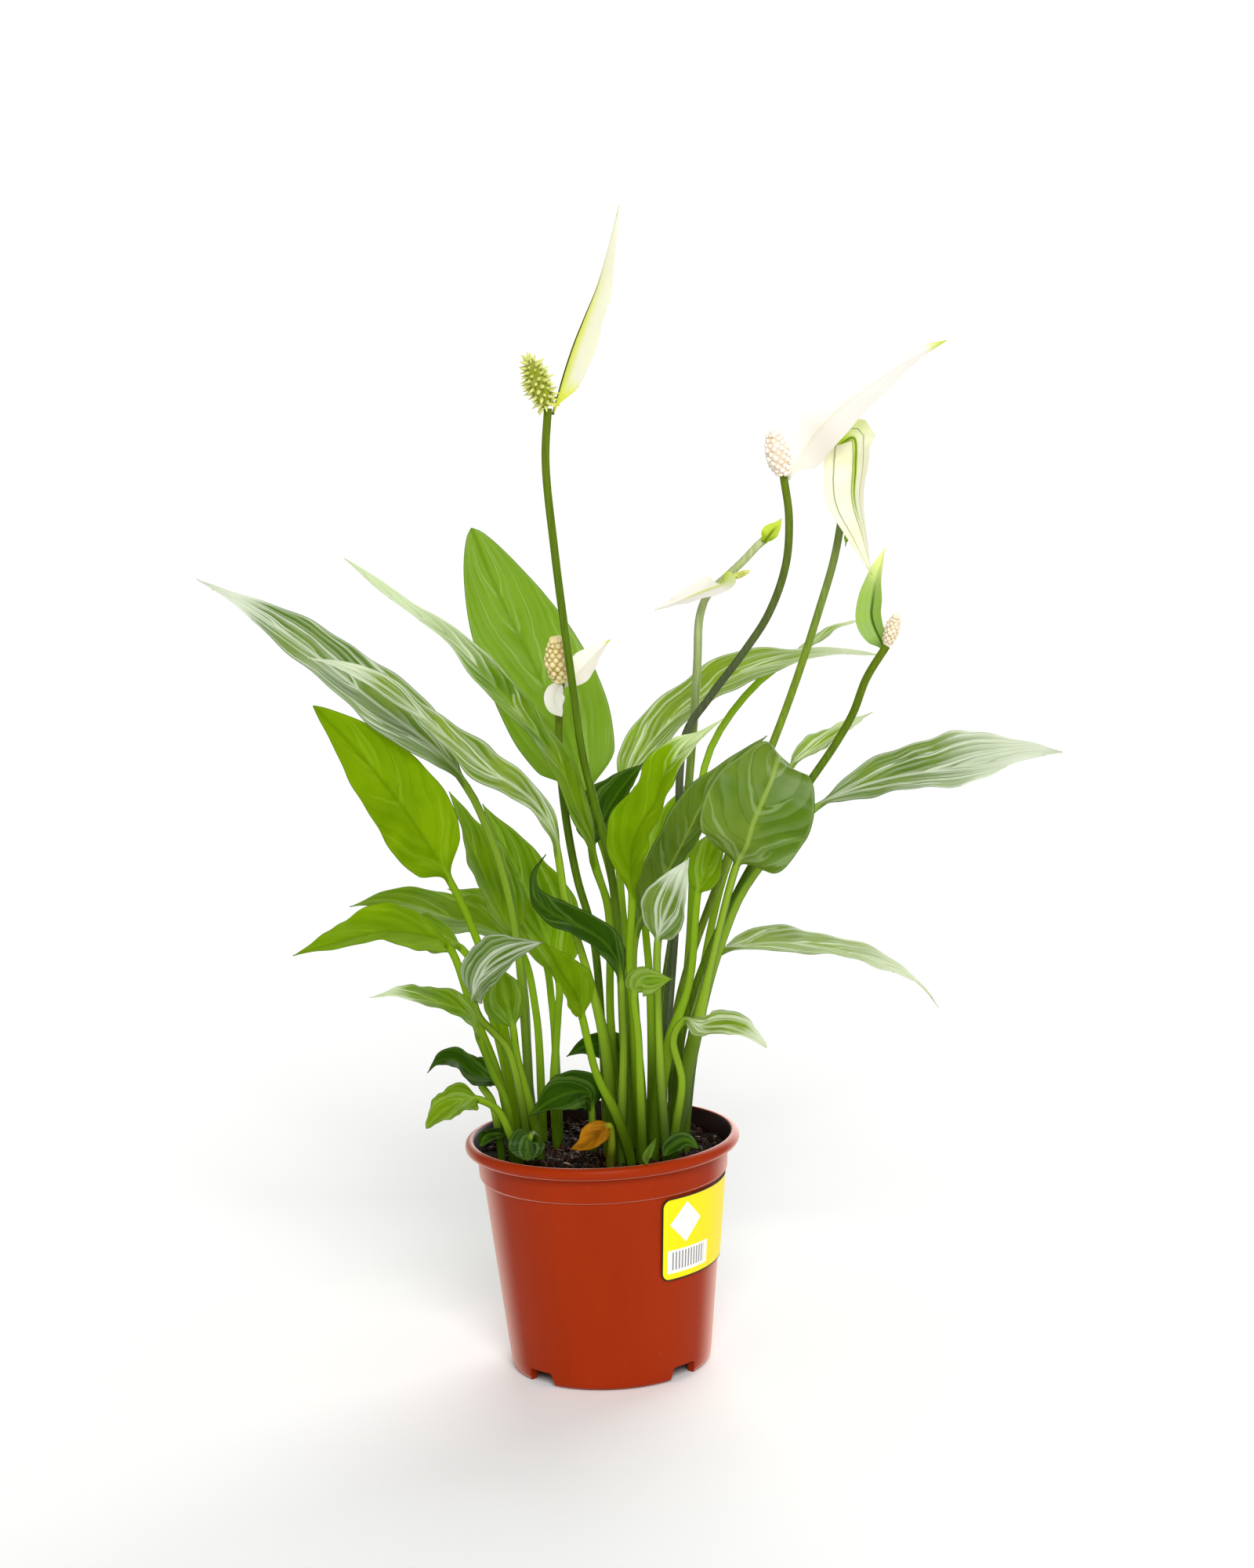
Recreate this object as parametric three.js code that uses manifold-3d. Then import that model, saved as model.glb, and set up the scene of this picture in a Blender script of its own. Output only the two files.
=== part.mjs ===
// A peace lily growing in a round plastic nursery pot filled with peat.
//
// Units are millimetres, +Z is up, the pot stands on z = 0 and its front faces -Y.
// Everything is laid out from the pot's own upright axis; the last step slides the
// finished group sideways so that the middle of its outline is at x = y = 0.
//
// Separate physical pieces: the pot, the peat, the sticker on the pot, every leaf with
// its stalk, and for every flower the stem, the spathe and the spadix.
import * as THREE from 'three';
import { mergeVertices } from 'three/addons/utils/BufferGeometryUtils.js';
import Module from 'manifold-3d';

const wasm = await Module();
wasm.setup();

// ---------------------------------------------------------------- driving dimensions

// Standard 12 cm nursery pot: 120 mm across the lip, about 102 mm high.
const POT_HEIGHT = 102;
const POT_LIP_RADIUS = 60;
const POT_SIDES = 40;

// Distances down from the rim that shape the collar under the lip.
const LIP_DROP = 3.2;
const LIP_UNDERSIDE = 5;
const COLLAR_TOP = 6;
const COLLAR_FOOT = 16.4;
const BODY_TOP = 17;

const BODY_TOP_RADIUS = 52.6;
const BODY_FOOT_RADIUS = 44.2;
const FOOT_RING_RADIUS = 43.6;
const FOOT_INNER_RADIUS = 39.5;
const FLOOR_UNDERSIDE = 4;
const FLOOR_TOP = 5.5;
const WALL = 1.35;

// Four drain notches are cut through the corner of the foot, on the diagonals.
const NOTCH_COUNT = 4;
const NOTCH_WIDTH_LOW = 15;
const NOTCH_WIDTH_HIGH = 12;
const NOTCH_HEIGHT = 6;
const NOTCH_INNER_RADIUS = 35;
const NOTCH_OUTER_RADIUS = 47;
const DRAIN_RADIUS = 4;

// Peat: bumpy top a little below the rim.
const SOIL_LEVEL = 95;
const SOIL_BUMP = 1.4;
const SOIL_GAP = 0.35;
const SOIL_SIDES = 28;
const SOIL_RINGS = 4;

// Stems stand in round holes in the peat.
const HOLE_FLOOR = 84;
const PEG_FLOOR = 84.5;
const PEG_RADIUS = 1.9;
const HOLE_RADIUS = 2.7;
const HOLE_SIDES = 6;

// Sticker: a thin printed sheet wrapped round the body below the collar.
const STICKER_START_DEG = 27;
const STICKER_END_DEG = 103;
const STICKER_TOP = POT_HEIGHT - BODY_TOP - 1.2;
const STICKER_HEIGHT = 37;
const STICKER_THICKNESS = 0.5;
const STICKER_GAP = 0.45;
const STICKER_CORNER = 4;
const STICKER_COLUMNS = 12;

// Leaf build-up.
const BELLY = 0.74;
const TAPER = 1.12;
const STALK_RADIUS = 1.65;
const BLADE_RIM_THICKNESS = 0.75;
const BLADE_MID_THICKNESS = 0.95;
const RIB_RADIUS = 1.1;
const BLADE_JOIN = 0.14;
const BLADE_STATIONS = 8;
const STALK_STATIONS = 5;
const PEDUNCLE_RADIUS = 1.75;
const PEDUNCLE_SIDES = 6;

// Viewing direction that leaf facing angles are measured from (the front of the pot).
const AWAY = new THREE.Vector3(0, 1, 0);

// ------------------------------------------------------------------------- finishes

const COLORS = {
  pot: 0xa83614,
  soil: 0x2a1c14,
  sticker: 0xf2c61a,
  leaf: 0x3f6b2a,
  leafPale: 0x8fb04a,
  leafDark: 0x24401c,
  leafDead: 0xc98a2c,
  stem: 0x6d9440,
  spathe: 0xf1efdc,
  spatheGreen: 0xa9c46a,
  spadix: 0xe9dfa6,
};

function finish(name, color, roughness) {
  const material = new THREE.MeshStandardMaterial({ color, roughness, metalness: 0 });
  material.name = name;
  return material;
}

// --------------------------------------------------------------------- leaf catalogue
//
// root:  where the stalk goes into the peat (x, y)
// stalk: points up the stalk, the last one is the foot of the blade
// blade: points along the midrib out to the tip
// width: full width of the blade
// face:  turn of the blade about its midrib at the foot and at the tip, degrees;
//        0 shows the upper side to the front, 90 or -90 is edge-on
// fold:  how far both halves are raised out of the flat, degrees
// wave:  height of the waves along the margins
// sheath: half width of the winged lower stalk
// belly: exponent of the outline; larger moves the widest place towards the tip
// taper: how drawn out both ends of the blade are; smaller is blunter

const LEAVES = [
  // Left clump
  { name: 'leaf_01', tone: 'leaf', root: [-31, -4], width: 38, face: [-58, -64], fold: 12,
    wave: 1.2, sheath: 2.6,
    stalk: [[-31, -5, 150], [-33, -8, 192], [-38, -18, 225], [-46, -30, 253], [-50, -34, 262]],
    blade: [[-61, -38, 278], [-87, -42, 301], [-111, -46, 323], [-135, -48, 342], [-155, -50, 355]] },
  { name: 'leaf_02', tone: 'leafPale', root: [-37, -4], width: 37, face: [-30, -42], fold: 14,
    wave: 1.0, taper: 0.8, sheath: 2.4,
    stalk: [[-41, -8, 156], [-51, -24, 200], [-59, -36, 223]],
    blade: [[-68, -44, 242], [-79, -52, 262], [-94, -60, 284], [-109, -68, 303]] },
  { name: 'leaf_03', tone: 'leaf', root: [-20, 8], width: 38, face: [-34, -44], fold: 14,
    wave: 1.2, sheath: 2.2,
    stalk: [[-20, 14, 122], [-17, 26, 151], [-16, 31, 162]],
    blade: [[-23, 44, 187], [-33, 54, 210], [-47, 62, 240]] },
  { name: 'leaf_04', tone: 'leafDark', root: [-29, 7], width: 34, face: [-58, -64], fold: 20,
    wave: 1.0, sheath: 2.2,
    stalk: [[-31, 9, 124], [-31, 11, 162], [-34, 14, 185]],
    blade: [[-42, 18, 203], [-51, 22, 227], [-60, 24, 252]] },
  { name: 'leaf_05', tone: 'leafDark', root: [-39, -10], width: 31, face: [-66, -74], fold: 12,
    wave: 1.0, sheath: 2.2,
    stalk: [[-43, -12, 130], [-53, -22, 165], [-61, -36, 195]],
    blade: [[-70, -47, 202], [-87, -60, 207], [-104, -72, 206], [-122, -80, 203]] },
  { name: 'leaf_06', tone: 'leafDark', root: [-26, 13], width: 34, face: [-66, -72], fold: 12,
    wave: 1.2, sheath: 2.2,
    stalk: [[-26, 18, 114], [-27, 34, 150], [-33, 48, 175]],
    blade: [[-48, 60, 184], [-64, 70, 187], [-81, 80, 192], [-96, 88, 193], [-112, 94, 190]] },
  { name: 'leaf_07', tone: 'leaf', root: [-38, 3], width: 30, face: [-68, -74], fold: 12,
    wave: 0.8, sheath: 2.0,
    stalk: [[-40, 4, 124], [-47, 2, 161], [-57, -2, 187]],
    blade: [[-72, -6, 193], [-85, -8, 195], [-98, -10, 199]] },
  { name: 'leaf_08', tone: 'leaf', root: [-19, 15], width: 28, face: [-58, -64], fold: 12,
    wave: 0.8, sheath: 2.0,
    stalk: [[-19, 26, 113], [-20, 58, 147], [-24, 80, 167]],
    blade: [[-40, 98, 180], [-53, 106, 188], [-67, 112, 193]] },
  { name: 'leaf_09', tone: 'leafDark', root: [-32, -13], width: 32, face: [60, 68], fold: 10,
    wave: 0.8, sheath: 2.0,
    stalk: [[-38, -23, 145], [-44, -31, 156], [-49, -39, 164], [-51, -46, 173]],
    blade: [[-49, -50, 182], [-42, -53, 190], [-33, -55, 195], [-21, -56, 199]] },
  { name: 'leaf_10', tone: 'leaf', root: [-27, -9], width: 20, face: [158, 164], fold: 14,
    wave: 0.5, sheath: 2.0,
    stalk: [[-31, -11, 120], [-35, -17, 142], [-36, -23, 156]],
    blade: [[-38, -26, 169], [-40, -30, 184]] },
  { name: 'leaf_11', tone: 'leaf', root: [-38, -16], width: 18, face: [-76, -80], fold: 10,
    wave: 0.8, sheath: 2.0,
    stalk: [[-40, -22, 122], [-45, -36, 140], [-49, -56, 159]],
    blade: [[-53, -70, 173], [-64, -86, 182], [-78, -104, 190], [-89, -116, 192]] },
  { name: 'leaf_12', tone: 'leafDark', root: [-44, -9], width: 19, face: [-64, -70], fold: 14,
    wave: 0.8, sheath: 1.9,
    stalk: [[-45, -11, 110], [-47, -13, 122], [-51, -14, 130]],
    blade: [[-46, -15, 131], [-55, -15, 135], [-62, -15, 141], [-68, -15, 141], [-74, -15, 136]] },
  { name: 'leaf_13', tone: 'leafDark', root: [-36, -22], width: 20, face: [-60, -66], fold: 10,
    wave: 0.8, taper: 0.7, sheath: 1.9,
    stalk: [[-39, -23, 108], [-44, -27, 121], [-52, -34, 128]],
    blade: [[-58, -38, 129], [-67, -42, 125], [-74, -44, 119]] },
  { name: 'leaf_14', tone: 'leafDark', root: [3, 3], width: 15, face: [6, 10], fold: 16,
    wave: 0.4, sheath: 1.9,
    stalk: [[3, 7, 110], [6, 10, 123]],
    blade: [[7, 12, 137], [0, 12, 139], [-7, 12, 138], [-14, 11, 134]] },
  { name: 'leaf_15', tone: 'leafDark', root: [-27, -16], width: 16, face: [0, 6], fold: 8,
    wave: 0.3, taper: 0.6, sheath: 1.9,
    stalk: [[-28, -20, 105], [-30, -28, 110], [-31, -33, 110]],
    blade: [[-32, -35, 109], [-32, -36, 105], [-32, -37, 101]] },
  // Right clump, leaning left
  { name: 'leaf_16', tone: 'leafDark', root: [5, -19], width: 18, face: [-52, -60], fold: 12,
    wave: 1.8, taper: 0.9, sheath: 3.4,
    stalk: [[3, -22, 147], [-4, -27, 183], [-11, -31, 211], [-13, -34, 230]],
    blade: [[-15, -37, 242], [-22, -41, 255], [-31, -46, 264], [-42, -51, 272], [-53, -56, 283],
      [-68, -61, 298], [-83, -65, 311], [-98, -68, 319], [-110, -70, 323]] },
  { name: 'leaf_17', tone: 'leafPale', root: [9, 6], width: 20, face: [-58, -66], fold: 10,
    wave: 1.2, taper: 0.8, sheath: 2.2,
    stalk: [[6, 5, 150], [7, -1, 201], [3, -5, 219]],
    blade: [[0, -8, 234], [-4, -9, 245], [-10, -9, 263], [-19, -8, 278], [-30, 0, 291], [-41, 11, 303],
      [-55, 20, 319], [-78, 28, 336], [-101, 36, 355]] },
  { name: 'leaf_18', tone: 'leafPale', root: [13, 0], width: 48, face: [-14, -6], fold: 10,
    wave: 1.6, taper: 0.65, sheath: 2.2,
    stalk: [[13, 6, 150], [12, 14, 185], [8, 28, 216], [0, 42, 242]],
    blade: [[-4, 48, 258], [-12, 53, 280], [-20, 57, 300], [-31, 61, 324], [-39, 63, 344], [-46, 64, 364]] },
  { name: 'leaf_19', tone: 'leaf', root: [8, -25], width: 16, face: [-44, -50], fold: 18,
    wave: 1.0, sheath: 2.4,
    stalk: [[11, -21, 147], [11, -25, 163], [11, -28, 173]],
    blade: [[9, -30, 185], [3, -32, 194], [-8, -35, 202], [-18, -38, 208], [-24, -42, 216],
      [-24, -45, 226], [-18, -46, 234]] },
  { name: 'leaf_20', tone: 'leafPale', root: [12, -30], width: 22, face: [-50, -60], fold: 18,
    wave: 0.8, sheath: 2.4,
    stalk: [[7, -32, 117], [-1, -38, 137], [-4, -43, 152], [-6, -47, 164]],
    blade: [[-8, -51, 174], [-14, -57, 186], [-20, -63, 200]] },
  { name: 'leaf_21', tone: 'leafDark', root: [-4, -4], width: 22, face: [-48, -56], fold: 8,
    wave: 0.8, sheath: 1.9,
    stalk: [[-4, -6, 105], [-4, -9, 114]],
    blade: [[-5, -11, 122], [-10, -13, 124], [-20, -17, 122], [-31, -20, 116]] },
  { name: 'leaf_22', tone: 'leafDead', root: [3, -29], width: 12, face: [-20, -40], fold: 24,
    wave: 0.6, sheath: 1.9,
    stalk: [[4, -31, 106], [3, -35, 114]],
    blade: [[-2, -39, 112], [-8, -42, 108], [-14, -44, 107]] },
  // Right clump, leaning right
  { name: 'leaf_23', tone: 'leafPale', root: [16, -25], width: 28, face: [50, 58], fold: 18,
    wave: 1.8, sheath: 3.2,
    stalk: [[16, -28, 149], [15, -32, 185], [17, -36, 211]],
    blade: [[17, -40, 225], [18, -43, 235], [22, -46, 245], [28, -49, 254], [32, -51, 265],
      [38, -54, 274], [47, -56, 281], [57, -58, 289]] },
  { name: 'leaf_24', tone: 'leaf', root: [18, 6], width: 36, face: [64, 74], fold: 12,
    wave: 1.4, belly: 0.68, sheath: 2.2,
    stalk: [[16, 15, 150], [13, 34, 208], [13, 52, 240]],
    blade: [[18, 56, 249], [25, 61, 258], [33, 65, 267], [42, 69, 275], [53, 73, 282], [65, 76, 289],
      [79, 78, 294], [96, 80, 297], [114, 82, 299], [137, 84, 297]] },
  { name: 'leaf_25', tone: 'leaf', root: [34, 5], width: 18, face: [72, 76], fold: 16,
    wave: 0.8, sheath: 2.0,
    stalk: [[43, 9, 150], [64, 32, 220], [90, 40, 253]],
    blade: [[103, 45, 261], [116, 49, 268], [129, 53, 275]] },
  { name: 'leaf_26', tone: 'leaf', root: [33, -16], width: 46, face: [4, 2], fold: 8,
    wave: 1.2, taper: 0.55, belly: 0.95, sheath: 3.2,
    stalk: [[36, -17, 124], [44, -24, 158], [52, -34, 192], [61, -46, 226]],
    blade: [[65, -54, 235], [68, -57, 245], [72, -58, 254], [76, -56, 262],
      [79, -52, 269], [81, -46, 271]] },
  { name: 'leaf_27', tone: 'leafDark', root: [18, -13], width: 27, face: [52, 60], fold: 20,
    wave: 1.0, sheath: 2.4,
    stalk: [[18, -10, 119], [17, -6, 153], [18, -1, 187]],
    blade: [[26, 1, 204], [35, 3, 218], [43, 3, 232], [51, 3, 246], [64, 0, 261], [78, -4, 274]] },
  { name: 'leaf_28', tone: 'leafDark', root: [21, -1], width: 28, face: [54, 60], fold: 14,
    wave: 0.8, sheath: 2.0,
    stalk: [[23, 4, 130], [24, 20, 165], [24, 38, 198]],
    blade: [[31, 48, 214], [38, 54, 230], [45, 58, 246]] },
  { name: 'leaf_29', tone: 'leaf', root: [22, -25], width: 21, face: [36, 46], fold: 14,
    wave: 0.6, sheath: 3.4,
    stalk: [[24, -25, 118], [31, -24, 148], [40, -24, 172], [44, -24, 203], [45, -24, 210]],
    blade: [[48, -24, 219], [52, -22, 229], [57, -20, 238]] },
  { name: 'leaf_30', tone: 'leafPale', root: [27, -31], width: 24, face: [34, 44], fold: 16,
    wave: 0.6, sheath: 2.2,
    stalk: [[26, -32, 130], [26, -36, 160], [27, -42, 194]],
    blade: [[30, -46, 205], [35, -50, 217], [41, -53, 231]] },
  { name: 'leaf_31', tone: 'leaf', root: [36, -10], width: 42, face: [64, 72], fold: 12,
    wave: 1.4, belly: 1.15, sheath: 2.8,
    stalk: [[40, -11, 133], [48, -14, 167], [56, -19, 191], [64, -25, 210], [77, -34, 229], [93, -44, 247]],
    blade: [[107, -50, 255], [126, -56, 261], [145, -60, 264], [164, -64, 267], [180, -68, 270],
      [194, -72, 271]] },
  { name: 'leaf_32', tone: 'leafDark', root: [29, 0], width: 25, face: [74, 80], fold: 10,
    wave: 1.2, sheath: 2.2,
    stalk: [[33, -2, 120], [36, -2, 146], [42, 0, 157], [47, 5, 167], [54, 14, 176]],
    blade: [[70, 27, 177], [86, 37, 175], [107, 48, 169], [125, 56, 162],
      [141, 62, 153], [150, 66, 145], [157, 70, 135]] },
  { name: 'leaf_33', tone: 'leafDark', root: [30, -26], width: 19, face: [68, 72], fold: 14,
    wave: 0.6, taper: 0.7, sheath: 2.2,
    stalk: [[32, -28, 112], [35, -29, 131], [32, -33, 150], [37, -38, 159]],
    blade: [[44, -43, 157], [54, -50, 158], [62, -56, 156], [70, -60, 151]] },
  { name: 'leaf_34', tone: 'leaf', root: [17, -35], width: 13, face: [10, 20], fold: 14,
    wave: 0.4, sheath: 1.9,
    stalk: [[17, -38, 125], [17, -44, 155], [16, -50, 174]],
    blade: [[18, -52, 179], [24, -54, 180], [32, -56, 181]] },
  { name: 'leaf_35', tone: 'leafDark', root: [7, -4], width: 30, face: [50, 58], fold: 18,
    wave: 0.8, sheath: 2.0,
    stalk: [[12, -2, 151], [8, 8, 198], [1, 15, 225]],
    blade: [[6, 19, 236], [14, 23, 248], [25, 27, 260]] },
  { name: 'leaf_36', tone: 'leafPale', root: [32, 17], width: 7, face: [64, 70], fold: 14,
    wave: 0.3, sheath: 1.9,
    stalk: [[43, 42, 177], [48, 72, 214], [57, 90, 255], [77, 95, 282], [97, 95, 297]],
    blade: [[111, 95, 305], [117, 95, 309], [124, 95, 311], [130, 95, 313]] },
];

// ------------------------------------------------------------------- flower catalogue
//
// stem:   root (x, y), then points up to the foot of the spadix
// girth:  thickness of the upper stem compared with the thickest one
// spathe: midrib points beyond its foot to its tip, full width, facing, cupping
// spadix: tip of its axis, and its radius

const FLOWERS = [
  { name: 'flower_1', root: [11, -14], girth: 0.66,
    stem: [[11, -13, 150], [11, -12, 189], [8, -10, 226], [3, -10, 250], [-1, -10, 270], [-4, -10, 300],
      [-9, -10, 358], [-11, -10, 395], [-9, -10, 417]],
    spathe: { tone: 'spathe', width: 44, face: [78, 84], fold: -14,
      line: [[-2, -8, 430], [3, -8, 443], [8, -8, 454], [14, -10, 467], [19, -12, 482], [24, -14, 499]] },
    spadix: { tip: [-16, -14, 437], radius: 4.3 } },
  { name: 'flower_2', root: [25, -7], girth: 0.66,
    stem: [[31, -4, 152], [36, 10, 190], [39, 20, 218], [44, 22, 272], [55, 22, 288], [71, 20, 308],
      [82, 18, 324], [90, 15, 345], [92, 13, 366], [90, 10, 384]],
    spathe: { tone: 'spathe', width: 30, face: [40, 58], fold: 8,
      line: [[96, 17, 388], [104, 15, 400], [115, 12, 411], [129, 8, 421], [145, 4, 431], [160, 0, 438]] },
    spadix: { tip: [86, 7, 402], radius: 5.0 } },
  { name: 'flower_3', root: [31, 11], girth: 0.72,
    stem: [[35, 16, 150], [60, 20, 217], [80, 22, 262], [92, 25, 290], [104, 27, 322], [113, 27, 350],
      [117, 27, 376], [115, 26, 397]],
    spathe: { tone: 'spathe', width: 27, face: [-160, -130], fold: 30,
      line: [[121, 14, 398], [121, 12, 386], [120, 12, 373], [123, 8, 357], [126, 4, 340]] },
    spadix: { tip: [107, 27, 408], radius: 4.2 } },
  { name: 'flower_4', root: [31, -6], girth: 0.85,
    stem: [[38, -9, 152], [66, -4, 212], [95, 1, 251], [108, 4, 268], [116, 4, 281], [122, 2, 296],
      [131, 0, 310]],
    spathe: { tone: 'spatheGreen', width: 14, face: [26, 40], fold: 28,
      line: [[126, 10, 321], [127, 13, 329], [129, 14, 339], [133, 14, 351]] },
    spadix: { tip: [135, -5, 323], radius: 3.0 } },
  { name: 'flower_5', root: [24, 11], girth: 0.55,
    stem: [[28, 14, 148], [39, 31, 204], [48, 36, 273], [51, 37, 302], [53, 37, 323],
      [57, 37, 332], [66, 37, 340], [74, 37, 347], [79, 37, 352], [84, 37, 356]],
    spathe: { tone: 'spathe', width: 8, face: [170, 176], fold: 24,
      line: [[86, 32, 359], [88, 32, 361], [90, 33, 364]] },
    spadix: { tip: [89, 39, 361], radius: 1.5 } },
  { name: 'flower_6', root: [27, 5], girth: 0.5,
    stem: [[30, 8, 150], [39, 22, 206], [48, 29, 274], [51, 30, 303], [53, 30, 324],
      [57, 30, 333], [62, 30, 336], [66, 30, 339]],
    spathe: { tone: 'spathe', width: 15, face: [-54, -64], fold: 14,
      line: [[62, 22, 337], [55, 20, 335], [46, 19, 332], [33, 18, 328]] },
    spadix: { tip: [75, 30, 342], radius: 1.5 } },
  { name: 'flower_7', root: [2, -10], girth: 0.66,
    stem: [[2, -8, 112], [2, 2, 145], [0, 9, 188], [-6, 12, 214], [-10, 13, 245], [-11, 12, 275],
      [-9, 7, 300]],
    spathe: { tone: 'spathe', width: 14, face: [24, 46], fold: 18,
      line: [[-1, 14, 303], [3, 16, 307], [7, 17, 311], [13, 18, 316]] },
    spadix: { tip: [-10, 3, 319], radius: 5.6 } },
];

// ------------------------------------------------------------------- mesh and solids

function toGeometry(positions, indices) {
  const geometry = new THREE.BufferGeometry();
  geometry.setAttribute('position', new THREE.Float32BufferAttribute(positions, 3));
  geometry.setIndex(indices);
  geometry.computeVertexNormals();
  return geometry;
}

// Closed geometry as a solid that can be cut: shared corners merged, flat slivers dropped.
function toSolid(geometry) {
  const bare = geometry.clone();
  bare.deleteAttribute('normal');
  bare.deleteAttribute('uv');
  const merged = mergeVertices(bare);
  const corners = Array.from(merged.index.array);
  const triVerts = [];
  for (let k = 0; k < corners.length; k += 3) {
    const [a, b, c] = corners.slice(k, k + 3);
    if (a !== b && b !== c && c !== a) {
      triVerts.push(a, b, c);
    }
  }
  return new wasm.Manifold(new wasm.Mesh({
    numProp: 3,
    vertProperties: new Float32Array(merged.attributes.position.array),
    triVerts: new Uint32Array(triVerts),
  }));
}

function solidToGeometry(solid) {
  const mesh = solid.getMesh();
  return toGeometry(Array.from(mesh.vertProperties), Array.from(mesh.triVerts));
}

function part(name, geometry, material) {
  const mesh = new THREE.Mesh(geometry, material);
  mesh.name = name;
  return mesh;
}

// Joins closed rings of equal length into one skin and closes both ends with a fan.
// The diagonal of every quad runs the same way on the upper and the lower side.
function skinRings(rings, half) {
  const count = rings[0].length;
  const positions = rings.flat().flatMap((point) => [point.x, point.y, point.z]);
  const indices = [];
  for (let i = 0; i + 1 < rings.length; i += 1) {
    for (let j = 0; j < count; j += 1) {
      const next = (j + 1) % count;
      const a = i * count + j;
      const b = i * count + next;
      const c = (i + 1) * count + next;
      const d = (i + 1) * count + j;
      if (j < half) {
        indices.push(a, b, c, a, c, d);
      } else {
        indices.push(a, b, d, b, c, d);
      }
    }
  }
  closeEnd(indices, 0, count, true);
  closeEnd(indices, (rings.length - 1) * count, count, false);
  return { positions, indices };
}

// Ladder of triangles across one end ring, from one side of it to the other.
function closeEnd(indices, start, count, first) {
  let low = 0;
  let high = count - 1;
  while (high - low > 1) {
    const corner = [start + low, start + low + 1, start + high];
    indices.push(...(first ? [corner[2], corner[1], corner[0]] : corner));
    low += 1;
    if (high - low > 1) {
      const other = [start + low, start + high - 1, start + high];
      indices.push(...(first ? [other[2], other[1], other[0]] : other));
      high -= 1;
    }
  }
}

// Turns a skin right side out when its rings happen to run the other way round.
function outward(skin) {
  const { positions, indices } = skin;
  let volume = 0;
  const corner = (k) => new THREE.Vector3().fromArray(positions, indices[k] * 3);
  for (let k = 0; k < indices.length; k += 3) {
    volume += corner(k).dot(corner(k + 1).cross(corner(k + 2)));
  }
  if (volume < 0) {
    for (let k = 0; k < indices.length; k += 3) {
      [indices[k], indices[k + 1]] = [indices[k + 1], indices[k]];
    }
  }
  return skin;
}

// ------------------------------------------------------------------------ centre lines

// Curve through hand-set points with the arc-length share of each point.
function centreLine(points) {
  const curve = new THREE.CatmullRomCurve3(points.map((p) => new THREE.Vector3(...p)), false, 'centripetal');
  const perSpan = 24;
  curve.arcLengthDivisions = perSpan * (points.length - 1);
  const lengths = curve.getLengths();
  const total = lengths[lengths.length - 1];
  const shareOf = (index) => lengths[index * perSpan] / total;
  return { curve, total, shareOf };
}

// Axes across a centre line: width direction and upper-side normal for one facing.
function crossAxes(tangent, faceDeg) {
  const across = new THREE.Vector3().crossVectors(tangent, AWAY).normalize();
  const depth = AWAY.clone().addScaledVector(tangent, -AWAY.dot(tangent)).normalize();
  const turn = THREE.MathUtils.degToRad(faceDeg);
  const wide = across.multiplyScalar(Math.cos(turn)).addScaledVector(depth, Math.sin(turn));
  const up = new THREE.Vector3().crossVectors(tangent, wide).normalize();
  return { wide, up };
}

const smooth = (value) => {
  const clamped = Math.min(1, Math.max(0, value));
  return clamped * clamped * (3 - 2 * clamped);
};

const mix = (from, to, share) => from + (to - from) * share;

// ------------------------------------------------------------------------------ leaves

// Positions across the blade, from one margin over the midrib to the other.
const ACROSS_BROAD = [-1, -0.5, 0, 0.5, 1];
const ACROSS_NARROW = [-1, 0, 1];
const NARROW_WIDTH = 31;

// Outline of a peace-lily leaf, drawn out to a long point; belly sets the widest place.
const leafOutline = (share, belly, taper) => Math.max(0, Math.sin(Math.PI * share ** belly)) ** taper;

// Outline of a spathe: broader towards its foot.
const spatheOutline = (share) => Math.sin(Math.PI * share ** 0.66) ** 0.95;

// One closed ring of a blade, blended into the round stalk near its foot.
function bladeRing(centre, axes, half, across, section) {
  const { wide, up } = axes;
  const { fold, wave, stalk, blend } = section;
  const rise = Math.sin(THREE.MathUtils.degToRad(fold));
  const flat = Math.cos(THREE.MathUtils.degToRad(fold));
  const step = Math.PI / across.length;
  const place = (v, index, side) => {
    const angle = Math.PI - step * (index + 0.5);
    const round = {
      w: stalk.wide * Math.cos(angle),
      u: side * stalk.thick * Math.sin(angle),
    };
    const isMidrib = v === 0;
    const thickness = mix(BLADE_MID_THICKNESS, BLADE_RIM_THICKNESS, Math.abs(v)) / 2;
    const under = isMidrib ? mix(RIB_RADIUS, thickness, section.share) : thickness;
    const height = half * rise * Math.abs(v) ** 1.25 + wave * v * Math.abs(v);
    const leaf = { w: v * half * flat, u: height + (side > 0 ? thickness : -under) };
    return centre.clone()
      .addScaledVector(wide, mix(round.w, leaf.w, blend))
      .addScaledVector(up, mix(round.u, leaf.u, blend));
  };
  const upper = across.map((v, index) => place(v, index, 1));
  const lower = across.map((v, index) => place(v, index, -1)).reverse();
  return [...upper, ...lower];
}

// Stalk width and thickness: a round peg, a winged sheath, then a slim round stalk.
function stalkSection(share, sheath) {
  const wing = smooth(share / 0.18) * (1 - smooth((share - 0.3) / 0.4));
  const base = mix(PEG_RADIUS, STALK_RADIUS, smooth(share / 0.5));
  return { wide: mix(base, sheath, wing), thick: base };
}

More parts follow.
